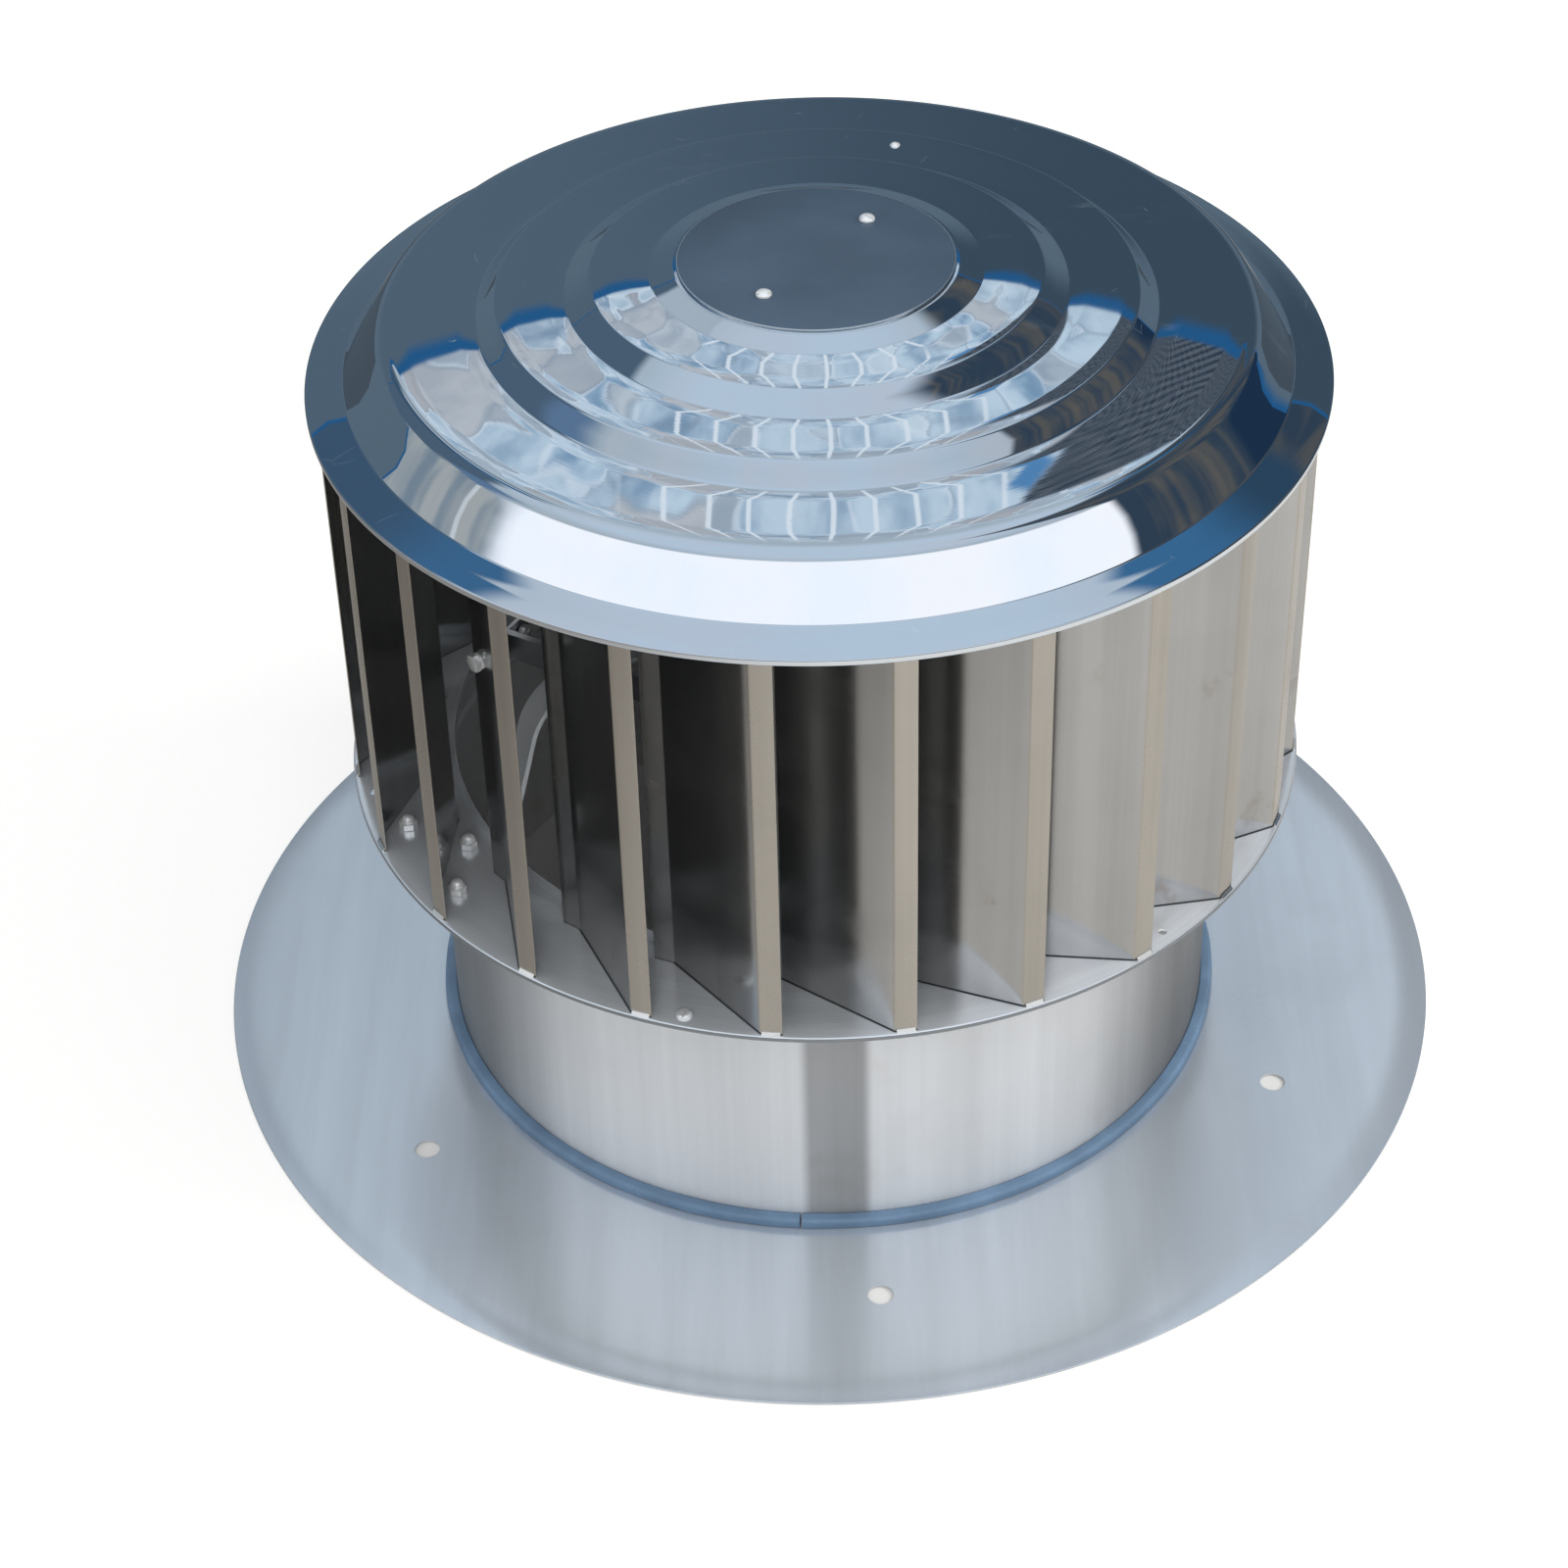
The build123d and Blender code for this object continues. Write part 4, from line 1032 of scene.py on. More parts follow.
    def lattice(self, nodes, sky, level, aside):
        """Panes and thin bright bars in the part of the sky that the flat steps mirror."""
        away = nodes.math("ABSOLUTE", aside)
        window = nodes.times(nodes.fall(level, 38, 41), nodes.fall(away, 13, 17))
        grid = nodes.combine(nodes.times(aside, 0.42), nodes.times(level, 0.5))
        sway = nodes.vector("SCALE", nodes.noise(grid, 0.9, 2.0, 0.5, "Color"), 1.3)
        bent = nodes.vector("ADD", grid, sway)
        panes = nodes.add("ShaderNodeTexVoronoi", {"Vector": bent, "Scale": 1.15}).outputs["Color"]
        frames = nodes.add("ShaderNodeTexVoronoi", {"Vector": bent, "Scale": 1.15},
                           feature="DISTANCE_TO_EDGE").outputs["Distance"]
        tones = nodes.add("ShaderNodeSeparateColor", {0: panes}).outputs
        pane = nodes.noise(grid, 1.6, 3.0, 0.6)
        glass = nodes.blend(nodes.ramp(pane, 0.34, 0.62), (0.20, 0.34, 0.50), (0.60, 0.74, 0.86))
        glass = nodes.blend(nodes.times(tones[0], 0.7), glass, (0.66, 0.76, 0.84))
        glass = nodes.blend(nodes.ramp(tones[1], 0.62, 0.8, 0.0, 0.55), glass, (0.34, 0.37, 0.42))
        glass = nodes.blend(nodes.ramp(tones[2], 0.72, 0.86, 0.0, 0.5), glass, (0.50, 0.44, 0.42))
        lead = nodes.blend(nodes.ramp(tones[2], 0.42, 0.58), (0.86, 0.92, 0.98), (0.26, 0.33, 0.42))
        glass = nodes.blend(nodes.ramp(frames, 0.015, 0.06, 0.45, 0.0), glass, lead)
        bars = nodes.math("PINGPONG", nodes.math("ADD", aside, 90.2), 0.5)
        shown = nodes.times(nodes.ramp(level, 34.0, 34.6), nodes.fall(away, 4.0, 5.0))
        shown = nodes.times(nodes.ramp(bars, 0.42, 0.46), shown)
        glass = nodes.blend(shown, glass, (0.84, 0.90, 0.96))
        return nodes.blend(window, sky, glass)

    def dark_masses(self, nodes, sky, level, aside):
        """A tall dark mass on the right with a low wing, and slimmer ones on the left."""
        top = nodes.linear(aside, 0.3, 41.6)
        below = nodes.fall(nodes.math("SUBTRACT", level, top), -3.0, 3.0)
        right = nodes.times(nodes.within(aside, 16.0, 102.0, 1.6), below)
        slant = nodes.linear(nodes.math("SUBTRACT", level, 34.0), 0.75, aside)
        wing = nodes.times(nodes.ramp(slant, 6.05, 6.2), nodes.fall(aside, 17, 18))
        wing = nodes.times(wing, nodes.fall(level, 35.8, 36.6))
        patch = nodes.within(slant, 5.6, 6.1, 0.06)
        patch = nodes.times(patch, nodes.within(level, 34.8, 35.7, 0.1))
        stretched = nodes.combine(nodes.times(aside, 0.16), nodes.times(level, 0.05))
        streak = nodes.noise(stretched, 1.0, 2.0, 0.6)
        shade = nodes.blend(nodes.ramp(streak, 0.38, 0.7), (0.035, 0.060, 0.095), (0.12, 0.115, 0.105))
        sky = nodes.blend(right, sky, shade)
        fan = nodes.math("PINGPONG", nodes.linear(aside, 0.63, level), 0.08)
        slats = nodes.blend(nodes.ramp(fan, 0.02, 0.06), (0.018, 0.034, 0.06), (0.145, 0.17, 0.20))
        sky = nodes.blend(wing, sky, slats)
        sky = nodes.blend(patch, sky, (0.10, 0.27, 0.52))
        lean = nodes.times(nodes.math("MINIMUM", nodes.math("SUBTRACT", level, 34.0), 12.0), 0.22)
        from_right = nodes.math("SUBTRACT", aside, lean)
        strip = nodes.times(nodes.within(from_right, 27.6, 37.0, 0.6), nodes.within(level, 36.0, 55.5, 1.5))
        blue = nodes.blend(nodes.ramp(level, 40, 49), (0.03, 0.07, 0.125), (0.05, 0.165, 0.33))
        sky = nodes.blend(strip, sky, blue)
        navy = nodes.times(nodes.within(aside, 36.0, 67.0, 2.0), nodes.fall(level, 10, 14))
        sky = nodes.blend(navy, sky, (0.014, 0.036, 0.075))
        low = nodes.within(aside, -97.0, -52.0, 3.0)
        low = nodes.times(low, nodes.fall(level, 24, 28))
        shade = nodes.blend(nodes.ramp(streak, 0.35, 0.62), (0.22, 0.28, 0.34), (0.44, 0.46, 0.46))
        post = nodes.within(aside, -88.4, -87.2, 0.3)
        shade = nodes.blend(nodes.times(post, 0.5), shade, (0.95, 0.98, 1.0))
        sky = nodes.blend(low, sky, shade)
        foot = nodes.linear(nodes.math("ADD", aside, 60.0), -0.57, 10.0)
        roof = nodes.linear(nodes.math("MINIMUM", nodes.math("ADD", aside, 55.0), 0.0), 0.4, 51.0)
        slate = nodes.times(nodes.ramp(aside, -78, -70), nodes.fall(aside, -22, -18))
        slate = nodes.times(slate, nodes.ramp(nodes.math("SUBTRACT", level, foot), 0.0, 3.0))
        slate = nodes.times(slate, nodes.fall(nodes.math("SUBTRACT", level, roof), -2.0, 2.0))
        sky = nodes.blend(slate, sky, (0.085, 0.135, 0.195))
        from_left = nodes.math("ADD", aside, lean)
        pale = nodes.times(nodes.within(from_left, -27.7, -22.0, 0.3), nodes.within(level, 34, 52, 1.0))
        sky = nodes.blend(pale, sky, (0.46, 0.53, 0.60))
        strip = nodes.times(nodes.within(from_left, -37.0, -27.8, 0.5), nodes.fall(level, 52.5, 56))
        blue = nodes.blend(nodes.ramp(level, 40, 50), (0.055, 0.105, 0.175), (0.055, 0.155, 0.30))
        return nodes.blend(strip, sky, blue)

    def far_wall(self, nodes, sky, level, aside, y, z):
        """A slate wall ahead and at the sides, under an edge with a blue fringe that rises, then falls."""
        away = nodes.math("MINIMUM", nodes.math("ABSOLUTE", aside), 12.0)
        slope = nodes.linear(away, 0.0076, 0.5605)
        right = nodes.ramp(aside, 38, 48)
        slope = nodes.linear(right, -0.63, slope)
        slope = nodes.linear(nodes.ramp(aside, -38, -50), -0.22, slope)
        rise = nodes.math("SUBTRACT", z, nodes.times(y, slope))
        wall = nodes.blend(nodes.ramp(aside, -9, 7), (0.098, 0.145, 0.195), (0.052, 0.085, 0.120))
        wall = nodes.blend(nodes.ramp(level, 20, 6), wall, (0.115, 0.165, 0.215))
        start = nodes.linear(right, -0.04, -0.014)
        wall = nodes.blend(nodes.ramp(rise, start, -0.005), wall, (0.020, 0.115, 0.28))
        open_side = nodes.ramp(nodes.math("ABSOLUTE", aside), 95, 105)
        return nodes.blend(nodes.math("MAXIMUM", nodes.ramp(rise, -0.0015, 0.0015), open_side), wall, sky)


class BuildDome(VentilatorOperator):
    """The spun dome with its steps, steep skirt and hemmed rim"""
    bl_idname = "ventilator.dome"
    bl_label = "Dome"

    def execute(self, context):
        sizes = self.settings.dome
        line, radii = dome_line(sizes)
        section = divided(sheet_section(line, radii, sizes.thickness), 12 * MM)
        dome = smoothed(spun("dome_shell", section, 360))
        finished(dome, "rotor", dome_steel(self.settings.finish.dome), "mirror_dome", "dome")
        return {"FINISHED"}


class BuildCap(VentilatorOperator):
    """The round plate over the dome's opening"""
    bl_idname = "ventilator.cap"
    bl_label = "Cap"

    def execute(self, context):
        sizes = self.settings.dome
        low = sizes.base + CAP_SEAT
        high = low + sizes.cap_thickness
        radius, edge = sizes.cap_radius, 0.4 * MM
        shape = bmesh.new()
        revolve_into(shape, [
            (0, low), (radius - edge, low), (radius, low + edge), (radius, high - edge),
            (radius - edge * 0.3, high - edge * 0.3), (radius - edge, high), (radius * 0.5, high),
            (0, high)], 180)
        cap = smoothed(pattern_piece("dome_cap_plate", shape))
        finish = self.settings.finish
        material = cap_steel(tuple(finish.cap), tuple(finish.dome), sizes.cap_radius)
        finished(cap, "rotor", material, "cap_plate", "dome_cap")
        return {"FINISHED"}


class BuildVanes(VentilatorOperator):
    """The folded vanes, as one tree of a raised section round the axis"""
    bl_idname = "ventilator.vanes"
    bl_label = "Vanes"

    def execute(self, context):
        sizes = self.settings.vanes
        back = -sizes.sweep
        foot = Vector((math.cos(back), math.sin(back))) * sizes.inner
        end = foot + Vector((math.sin(back), -math.cos(back))) * sizes.hem
        line = [(sizes.outer, sizes.hem), (sizes.outer, 0.0), tuple(foot), tuple(end)]
        section = divided(sheet_section(line, [1.6 * MM] * 2, sizes.thickness, 4), 7 * MM)
        curve = bpy.data.curves.new("vanes", "CURVE")
        curve.dimensions = "3D"
        spline = curve.splines.new("POLY")
        spline.points.add(len(section) - 1)
        for point, (x, y) in zip(spline.points, section):
            point.co = (x, y, 0.0, 1.0)
        spline.use_cyclic_u = True
        finish = self.settings.finish
        material = vane_steel(tuple(finish.vane), tuple(finish.hem), sizes)
        tabs = self.tabs(sizes)
        vanes = with_tree(placed("vanes", curve), vane_tree(), {
            "Count": sizes.count, "First": sizes.first - math.pi / 2, "Bottom": sizes.bottom,
            "Height": sizes.height, "Rows": VANE_ROWS, "Waviness": sizes.waviness, "Seed": sizes.seed,
            "Tabs": tabs, "Material": material})
        vanes = smoothed(settled(vanes), 40)
        bpy.data.objects.remove(tabs)
        finished(vanes, "rotor", material, "polished_vane", *VANE_NODES)
        return {"FINISHED"}

    def tabs(self, sizes):
        """The wedge tabs that weld one vane to the two rings."""
        shape = bmesh.new()
        root, tip = sizes.outer - sizes.thickness / 2, sizes.outer + sizes.tab_reach
        side = sizes.hem - 1 * MM
        top = sizes.bottom + sizes.height
        for seat, rise in ((sizes.bottom, sizes.tab_height), (top, -sizes.tab_height)):
            section = [(root, seat), (tip, seat), (sizes.outer, seat + rise), (root, seat + rise)]
            prism_into(shape, section, side - sizes.tab_width, side)
        return pattern_piece("vane_tabs", shape)


class BuildRings(VentilatorOperator):
    """The two rings that the vanes stand between"""
    bl_idname = "ventilator.rings"
    bl_label = "Rings"

    def execute(self, context):
        vanes, dome = self.settings.vanes, self.settings.dome
        material = ring_steel(tuple(self.settings.finish.ring), vanes)
        turned_edge, low = 8 * MM, vanes.bottom
        section = sheet_section([(RING_INNER, low + turned_edge), (RING_INNER, low), (RING_OUTER, low),
                                 (RING_OUTER, low - 3 * MM)], [0.2 * MM, 1.4 * MM], RING_SHEET)
        ring = spun("lower_ring_plate", divided(section, 12 * MM), 300)
        cuts = upright_holes(6, math.radians(BALANCE_AZIMUTH), BALANCE_RADIUS, low, 2.6 * MM)
        ring = smoothed(pierced(ring, cuts))
        finished(ring, "rotor", material, "polished_ring", "lower_ring")
        section = self.top_section(dome.rim_radius - dome.thickness - 0.3 * MM, dome.base, turned_edge)
        top = smoothed(spun("top_ring_plate", divided(section, 12 * MM), 300))
        finished(top, "rotor", material, "polished_ring", "top_ring")
        return {"FINISHED"}

    def top_section(self, rim, high, turned_edge):
        """A flat ring with its inner edge turned down."""
        low = high - RING_SHEET
        foot, bore = low - turned_edge, RING_INNER - RING_SHEET
        corners = [(RING_INNER, foot), (RING_INNER, low), (rim, low), (rim, high), (bore, high),
                   (bore, foot)]
        return rounded(corners, [0.2 * MM, 0.3 * MM, 0.2 * MM, 0.2 * MM, 1.2 * MM, 0.2 * MM], 3)


class BuildNeck(VentilatorOperator):
    """The brushed neck with its rolled bead"""
    bl_idname = "ventilator.neck"
    bl_label = "Neck"

    def execute(self, context):
        sizes = self.settings.throat
        radius = sizes.radius
        bead, swell, reach = 160 * MM, 2.4 * MM, 4.5 * MM
        line = [(radius, sizes.height), (radius, bead + reach), (radius + swell, bead),
                (radius, bead - reach), (radius, 0.0)]
        section = divided(sheet_section(line, [3 * MM] * 3, sizes.wall), 14 * MM)
        neck = smoothed(spun("neck_sheet", section, 300))
        # The bands paint reflections on the neck: a darker front band from -3.3 to 4.9 degrees, a lighter
        # tone elsewhere and darker flanks.
        material = steel("Brushed neck sheet", tuple(self.settings.finish.neck), 0.45, (6.0, 0.06),
                         brush=(("azimuth", 30.0), ("height", 1.6), ("radius", 0.0)), brush_depth=0.02,
                         streak=0.08, stain=(0.3, (0.46, 0.41, 0.35)), anisotropic=0.9, metallic=0.72,
                         bands=(1.52, -3.3, 4.9))
        finished(neck, "base", material, "brushed_tube", "neck_tube")
        return {"FINISHED"}


class BuildSeal(VentilatorOperator):
    """The seal round the foot of the neck, butted in front"""
    bl_idname = "ventilator.seal"
    bl_label = "Seal"

    def execute(self, context):
        sizes = self.settings.throat
        inner = sizes.radius + 0.05 * MM
        low = sizes.flange_thickness
        width, rise = 8 * MM, 6.5 * MM
        outer, high = inner + width, low + rise
        section = rounded([(inner, low), (outer, low), (outer, high), (inner, high)],
                          [0.2 * MM, 0.8 * MM, 2.8 * MM, 1.0 * MM], 6)
        joint, gap = math.radians(-4.4), 0.6 * MM / sizes.radius
        seal = spun("neck_seal_bead", section, 400, joint + gap, joint + 2 * math.pi - gap)
        for vertex in seal.data.vertices:
            x, y, z = vertex.co
            angle = math.atan2(y, x)
            uneven = math.sin(angle * 9) * 0.12 + math.sin(angle * 23 + 1.3) * 0.1
            uneven += math.sin(angle * 61) * 0.05
            lift = (z - low) / (high - low)
            reach = (math.hypot(x, y) - inner) / (outer - inner)
            vertex.co.z += uneven * MM * lift * 0.7
            stretch = 1 + uneven * MM * reach / sizes.radius
            vertex.co.x *= stretch
            vertex.co.y *= stretch
        material = seal_compound(tuple(self.settings.finish.seal))
        finished(smoothed(seal, 50), "base", material, "seal_compound", "neck_seal")
        return {"FINISHED"}


class BuildFlange(VentilatorOperator):
    """The flat roof plate with its bolt holes"""
    bl_idname = "ventilator.flange"
    bl_label = "Flange"

    def execute(self, context):
        sizes = self.settings.throat
        inner = sizes.radius + 0.05 * MM
        top = sizes.flange_thickness
        outer = sizes.flange_radius
        section = rounded([(inner, 0.0), (outer, 0.0), (outer, top), (inner, top)],
                          [0.1 * MM, 0.3 * MM, 0.4 * MM, 0.1 * MM], 3)
        plate = spun("roof_flange", divided(section, 25 * MM), 360)
        holes = upright_holes(6, sizes.first_hole, sizes.bolt_circle / 2, top, sizes.hole / 2)
        plate = smoothed(pierced(plate, holes))
        material = steel("Satin flange sheet", tuple(self.settings.finish.flange), 0.19, (5.0, 0.06),
                         brush=(("x", 48.0), ("y", 2.5), ("height", 0.0)), brush_depth=0.03, streak=0.13,
                         waviness=0.3, stain=(0.15, (0.52, 0.5, 0.5)), dust=0.05, metallic=0.67,
                         scratched=0.1)
        finished(plate, "base", material, "satin_sheet", "base_flange")
        return {"FINISHED"}


class BuildFasteners(VentilatorOperator):
    """Screws, rivets and bolts, each kind repeated on its own places"""
    bl_idname = "ventilator.fasteners"
    bl_label = "Fasteners"

    def execute(self, context):
        bright = steel("Bright fastener steel", (0.95, 0.95, 0.94), 0.2, (60.0, 0.15), metallic=0.6,
                       brush=(("radius", 900.0), ("azimuth", 20.0), ("height", 900.0)), brush_depth=0.1)
        sizes = self.settings.dome
        self.screws(bright, sizes)
        self.rivets(bright, sizes)
        self.bolts(bright)
        return {"FINISHED"}

    def places(self, count, first, radius, height):
        """Upright places round the axis."""
        return [azimuth_matrix(math.radians(first) + 2 * math.pi * k / count)
                @ Matrix.Translation((radius, 0, height)) for k in range(count)]

    def screws(self, bright, sizes):
        """Slotted screws in the cap and in every second balance hole."""
        shape = bmesh.new()
        crown = 2.6
        revolve_into(shape, in_metres([
            (0, -6), (2.0, -6), (2.4, -5.5), (2.4, 0), (4.6, 0), (4.8, 0.2), (4.8, 0.8), (4.6, 1.4),
            (3.94, 2.1), (3.1, 2.45), (2.0, crown), (0, crown)]), 40)
        screw = pattern_piece("screw_pattern", shape)
        slot = bmesh.new()
        bar = Matrix.Translation((0, 0, crown * MM)) @ Matrix.Diagonal((14 * MM, 1.1 * MM, 1.5 * MM, 1))
        bmesh.ops.create_cube(slot, size=1.0, matrix=bar)
        screw = cut_by(screw, pattern_piece("slot_cutter", slot))
        cap_places = self.places(2, -35.8, 52 * MM, sizes.base + CAP_SEAT + sizes.cap_thickness)
        cap = fasteners("cap_screw_set", cap_places, screw, bright, seed=3)
        finished(cap, "rotor", bright, "fastener_steel", "cap_screws")
        ring_places = self.places(3, BALANCE_AZIMUTH, BALANCE_RADIUS, self.settings.vanes.bottom)
        balance = fasteners("balance_screw_set", ring_places, screw, bright, seed=5)
        finished(balance, "rotor", bright, "fastener_steel", "balance_screws")
        bpy.data.objects.remove(screw)

    def rivets(self, bright, sizes):
        """The seam's rivets and the one on the dome."""
        shape = bmesh.new()
        revolve_into(shape, in_metres([
            (0, -2.1), (2.4, -2.1), (2.4, 0), (4.7, 0), (4.8, 0.15), (4.2, 0.8), (3.2, 1.35),
            (1.7, 1.7), (0, 1.72)]), 36)
        rivet = pattern_piece("rivet_pattern", shape)
        count, lowest, highest, strip_face = 5, 26, 138, 251.05
        places = []
        for k in range(count):
            height = lowest + (highest - lowest) / (count - 1) * k
            places.append(azimuth_matrix(math.pi) @ Matrix.Translation((strip_face * MM, 0, height * MM))
                          @ Matrix.Rotation(math.pi / 2, 4, "Y"))
        seam = fasteners("seam_rivet_set", places, rivet, bright, seed=2)
        finished(seam, "base", bright, "fastener_steel", "neck_seam_rivets")
        bpy.data.objects.remove(rivet)
        shape = bmesh.new()
        revolve_into(shape, in_metres([
            (0, -1.8), (2.4, -1.8), (2.4, 0), (3.1, 0), (3.2, 0.15), (2.7, 0.8), (1.9, 1.3),
            (0.9, 1.5), (0, 1.5)]), 36)
        small = pattern_piece("small_rivet_pattern", shape)
        radius = 171.3
        seat = sizes.base + (52.7 - (radius - 147.9) / (188.4 - 147.9) + 0.1) * MM
        dome = fasteners("dome_rivet_head", self.places(1, 163.0, radius * MM, seat), small, bright)
        finished(dome, "rotor", bright, "fastener_steel", "dome_rivet")
        bpy.data.objects.remove(small)

    def bolts(self, bright):
        """Bolts with cap nuts on the arms, bolts through the neck and the balance weight."""
        arms, bars = -61.2, -76.2
        pair_radius, pair_angle, heel, hub = 277.7, math.radians(7.45), 251.2, 39 * MM
        ring_top, base = self.settings.vanes.bottom, self.settings.dome.base
        across, along = pair_radius * math.cos(pair_angle), pair_radius * math.sin(pair_angle)
        feet = []
        for k in range(3):
            turned = azimuth_matrix(math.radians(arms + 120 * k))
            for x, y in ((across, along), (across, -along), (heel, 0.0)):
                feet.append(turned @ Matrix.Translation((x * MM, y * MM, ring_top)))
        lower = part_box("lower_housing")[0].z
        groups = [(4.2, feet), (5.2, self.places(3, bars, 251 * MM, base + 4 * MM)),
                  (7.0, self.places(3, arms, hub, lower + 4 * MM)),
                  (8.0, self.places(3, bars, hub, base + 8 * MM))]
        parts = []
        for index, (grip, places) in enumerate(groups):
            shape = bmesh.new()
            end = -(grip + 2)
            hexagon_into(shape, -(grip + 4) * MM, -grip * MM)
            revolve_into(shape, in_metres([(0, end), (3, end), (3, 2), (0, 2)]), 24)
            hexagon_into(shape, 0.0, 5 * MM)
            arc = [math.pi / 2 * step / 8 for step in range(8)]
            crown = [(4.5 * math.cos(a), 5 + 4.5 * math.sin(a)) for a in arc]
            revolve_into(shape, in_metres([(0, 4.8), (4.5, 4.8), *crown, (0, 9.5)]), 32)
            pattern = pattern_piece("bolt_pattern", shape)
            parts.append(fasteners("arm_bolt_set_%d" % index, places, pattern, bright, seed=index + 7))
            bpy.data.objects.remove(pattern)
        whole = bmesh.new()
        for part in parts:
            whole.from_mesh(part.data)
            bpy.data.objects.remove(part)
        joined = smoothed(pattern_piece("arm_bolt_set", whole))
        finished(joined, "rotor", bright, "fastener_steel", "arm_bolts")
        self.weight(bright)
        self.neck_bolts(bright)

    def weight(self, bright):
        """The balance weight on the inner hem of one vane."""
        shape = bmesh.new()
        hexagon_into(shape, 2.05 * MM, 6.05 * MM)
        hexagon_into(shape, -7.05 * MM, -2.05 * MM)
        for low, high in ((0.45, 2.05), (-2.05, -0.45)):
            revolve_into(shape, in_metres([(0, low), (5.3, low), (5.4, low + 0.2), (5.4, high - 0.2),
                                           (5.3, high), (0, high)]), 36)
        revolve_into(shape, in_metres([(0, -8.05), (2.4, -8.05), (2.95, -7.5), (2.95, 2.5), (0, 2.5)]), 24)
        pattern = pattern_piece("weight_pattern", shape)
        vanes = self.settings.vanes
        number, inset, rise = 22, 7.15 * MM, 164 * MM
        azimuth = vanes.first + 2 * math.pi * (number - 1) / vanes.count
        place = (azimuth_matrix(azimuth) @ Matrix.Rotation(-vanes.sweep, 4, "Z")
                 @ Matrix.Translation((vanes.inner - vanes.thickness / 2, -inset, vanes.bottom + rise))
                 @ Matrix.Rotation(math.pi / 2, 4, "Y"))
        weight = fasteners("balance_weight_stack", [place], pattern, bright)
        finished(weight, "rotor", bright, "fastener_steel", "balance_weight")
        bpy.data.objects.remove(pattern)

    def neck_bolts(self, bright):
        """The bolts through the neck into the bracket's feet."""
        side, height, play = 15.0, 177 * MM, 0.05
        neck_outer, neck_inner, foot_plate = 250.0, 248.8, 4.0
        corner = FLATS / MM / 2 / math.cos(math.radians(30))
        outside = math.sqrt(neck_outer ** 2 - (side - corner) ** 2) + play
        inside = math.sqrt((neck_inner - play - foot_plate) ** 2 - (side + corner) ** 2) - play
        grip = outside - inside
        end = -(grip + 6)
        shape = bmesh.new()
        hexagon_into(shape, 0.0, 4 * MM)
        hexagon_into(shape, -(grip + 5) * MM, -grip * MM)
        revolve_into(shape, in_metres([(0, end), (2.5, end), (3, end + 0.5), (3, 1), (0, 1)]), 24)
        pattern = pattern_piece("neck_bolt_pattern", shape)
        places = []
        for k in range(3):
            for y in (side, -side):
                places.append(azimuth_matrix(2 * math.pi / 3 * k)
                              @ Matrix.Translation((outside * MM, y * MM, height))
                              @ Matrix.Rotation(math.pi / 2, 4, "Y"))
        bolts = fasteners("neck_bolt_set", places, pattern, bright, seed=11)
        finished(bolts, "base", bright, "fastener_steel", "bracket_bolts")
        bpy.data.objects.remove(pattern)


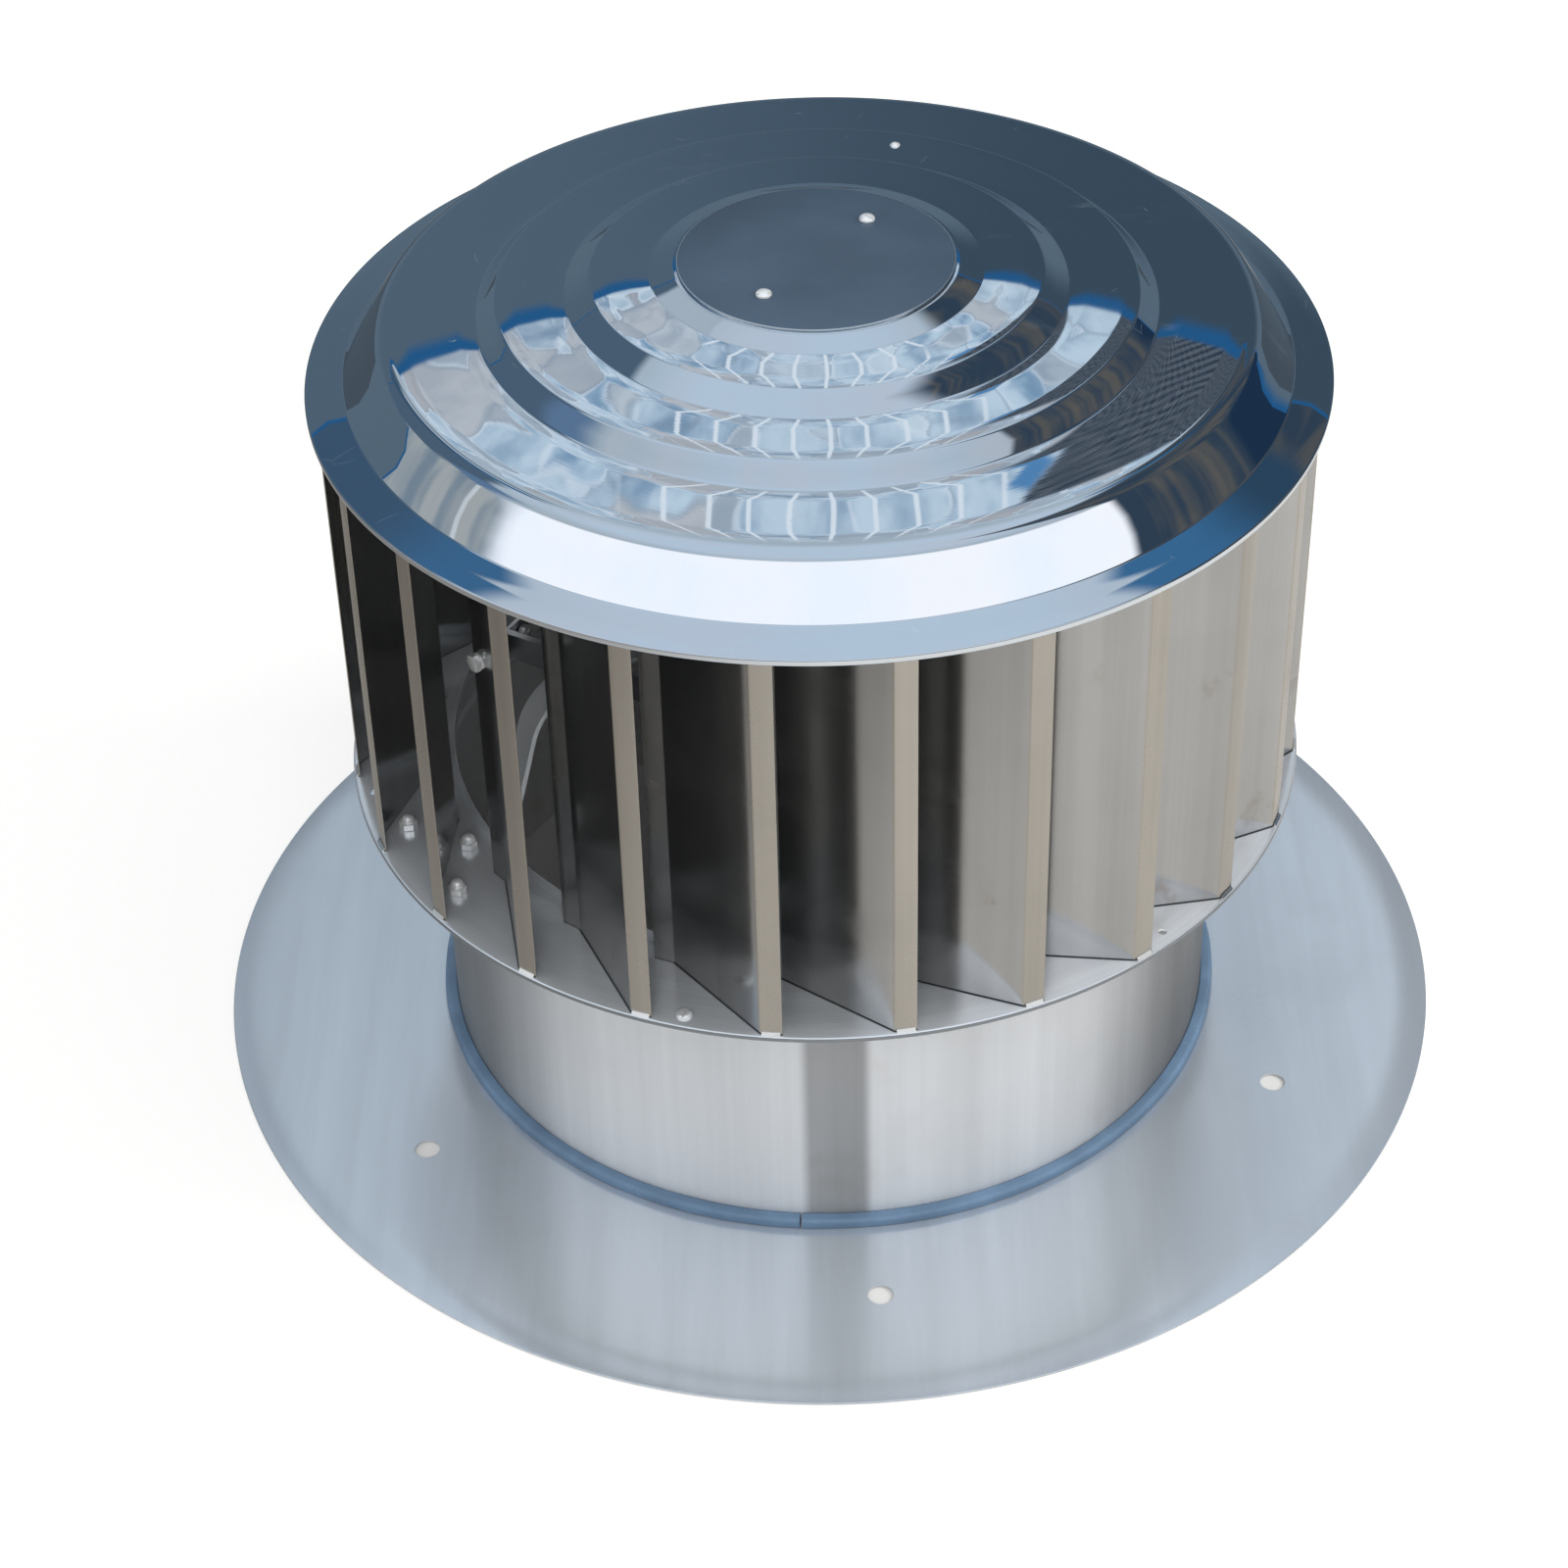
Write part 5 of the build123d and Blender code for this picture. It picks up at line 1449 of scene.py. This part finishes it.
class FinishCarrier(VentilatorOperator):
    """Finishes for the bracket, shaft, bearings, housings and arms inside"""
    bl_idname = "ventilator.carrier"
    bl_label = "Carrier"

    def execute(self, context):
        turned = steel("Ground shaft steel", (0.62, 0.62, 0.63), 0.16, (30.0, 0.1),
                       brush=(("height", 2500.0), ("azimuth", 4.0), ("radius", 2500.0)), brush_depth=0.15)
        plated = steel("Plated bracket steel", (0.55, 0.56, 0.57), 0.34, (14.0, 0.2), waviness=0.6,
                       stain=(0.4, (0.4, 0.38, 0.34)), dust=0.25)
        race = steel("Bearing steel", (0.70, 0.70, 0.71), 0.08, (60.0, 0.08),
                     brush=(("height", 3000.0), ("azimuth", 3.0), ("radius", 3000.0)), brush_depth=0.05)
        brass = steel("Cage brass", (0.72, 0.53, 0.26), 0.24, (40.0, 0.15),
                      brush=(("height", 1500.0), ("azimuth", 6.0), ("radius", 1500.0)), brush_depth=0.15)
        cast = steel("Turned housing aluminium", (0.60, 0.61, 0.62), 0.3, (18.0, 0.15),
                     brush=(("radius", 1800.0), ("azimuth", 5.0), ("height", 1200.0)), brush_depth=0.3,
                     dust=0.15)
        # Painted reflection: the arm bars are pale and nearly matt, standing in for the bright sky that
        # they mirror between the vanes.
        arm = steel("Bright arm bar", (0.94, 0.97, 1.0), 0.3, (10.0, 0.14), metallic=0.1,
                    brush=(("azimuth", 60.0), ("radius", 6.0), ("height", 3.0)), brush_depth=0.05)
        strip = bpy.data.materials.get("Brushed neck sheet")
        coats = {"shaft": turned, "lower_spacer": turned, "upper_spacer": turned, "shaft_washer": turned,
                 "shaft_locknut": turned, "neck_bracket": plated, "neck_seam_strip": strip,
                 "lower_housing": cast, "upper_housing": cast, "upper_spider": arm}
        for name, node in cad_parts.items():
            if node.hide_render:
                continue
            if "race" in name or "balls" in name:
                coat = race
            elif "cage" in name:
                coat = brass
            elif name.startswith("lower_arm"):
                coat = arm
            else:
                coat = coats[name]
            if not node.material_slots:
                node.data.materials.append(coat)
            for item in node.material_slots:
                item.material = coat
        return {"FINISHED"}


class VentilatorPanel(bpy.types.Panel):
    """Lists the ventilator's pieces and settings"""
    bl_idname = "VIEW3D_PT_ventilator"
    bl_label = "Roof turbine ventilator"
    bl_space_type = "VIEW_3D"
    bl_region_type = "UI"
    bl_category = "Ventilator"

    def draw(self, context):
        column = self.layout.column()
        for operator in PIECES:
            column.operator(operator.bl_idname, text=operator.bl_label)
        for group in ("dome", "vanes", "throat", "finish", "stage"):
            box = column.box()
            settings = getattr(context.scene.ventilator, group)
            for name in settings.__annotations__:
                box.prop(settings, name)


PIECES = (BuildStage, BuildDome, BuildCap, BuildVanes, BuildRings, BuildNeck, BuildSeal, BuildFlange,
          BuildFasteners, FinishCarrier)
CLASSES = (VentilatorDome, VentilatorVanes, VentilatorThroat, VentilatorFinish, VentilatorStage,
           VentilatorSettings, *PIECES, VentilatorPanel)


def register():
    for item in CLASSES:
        bpy.utils.register_class(item)
    bpy.types.Scene.ventilator = PointerProperty(type=VentilatorSettings)


def unregister():
    del bpy.types.Scene.ventilator
    for item in reversed(CLASSES):
        bpy.utils.unregister_class(item)


def main():
    """Build every piece in order."""
    register()
    bpy.context.scene.view_settings.view_transform = "Standard"
    for operator in PIECES:
        group, name = operator.bl_idname.split(".")
        result = getattr(getattr(bpy.ops, group), name)()
        if result != {"FINISHED"}:
            raise RuntimeError(operator.bl_label + " did not finish")


if __name__ == "__main__":
    main()
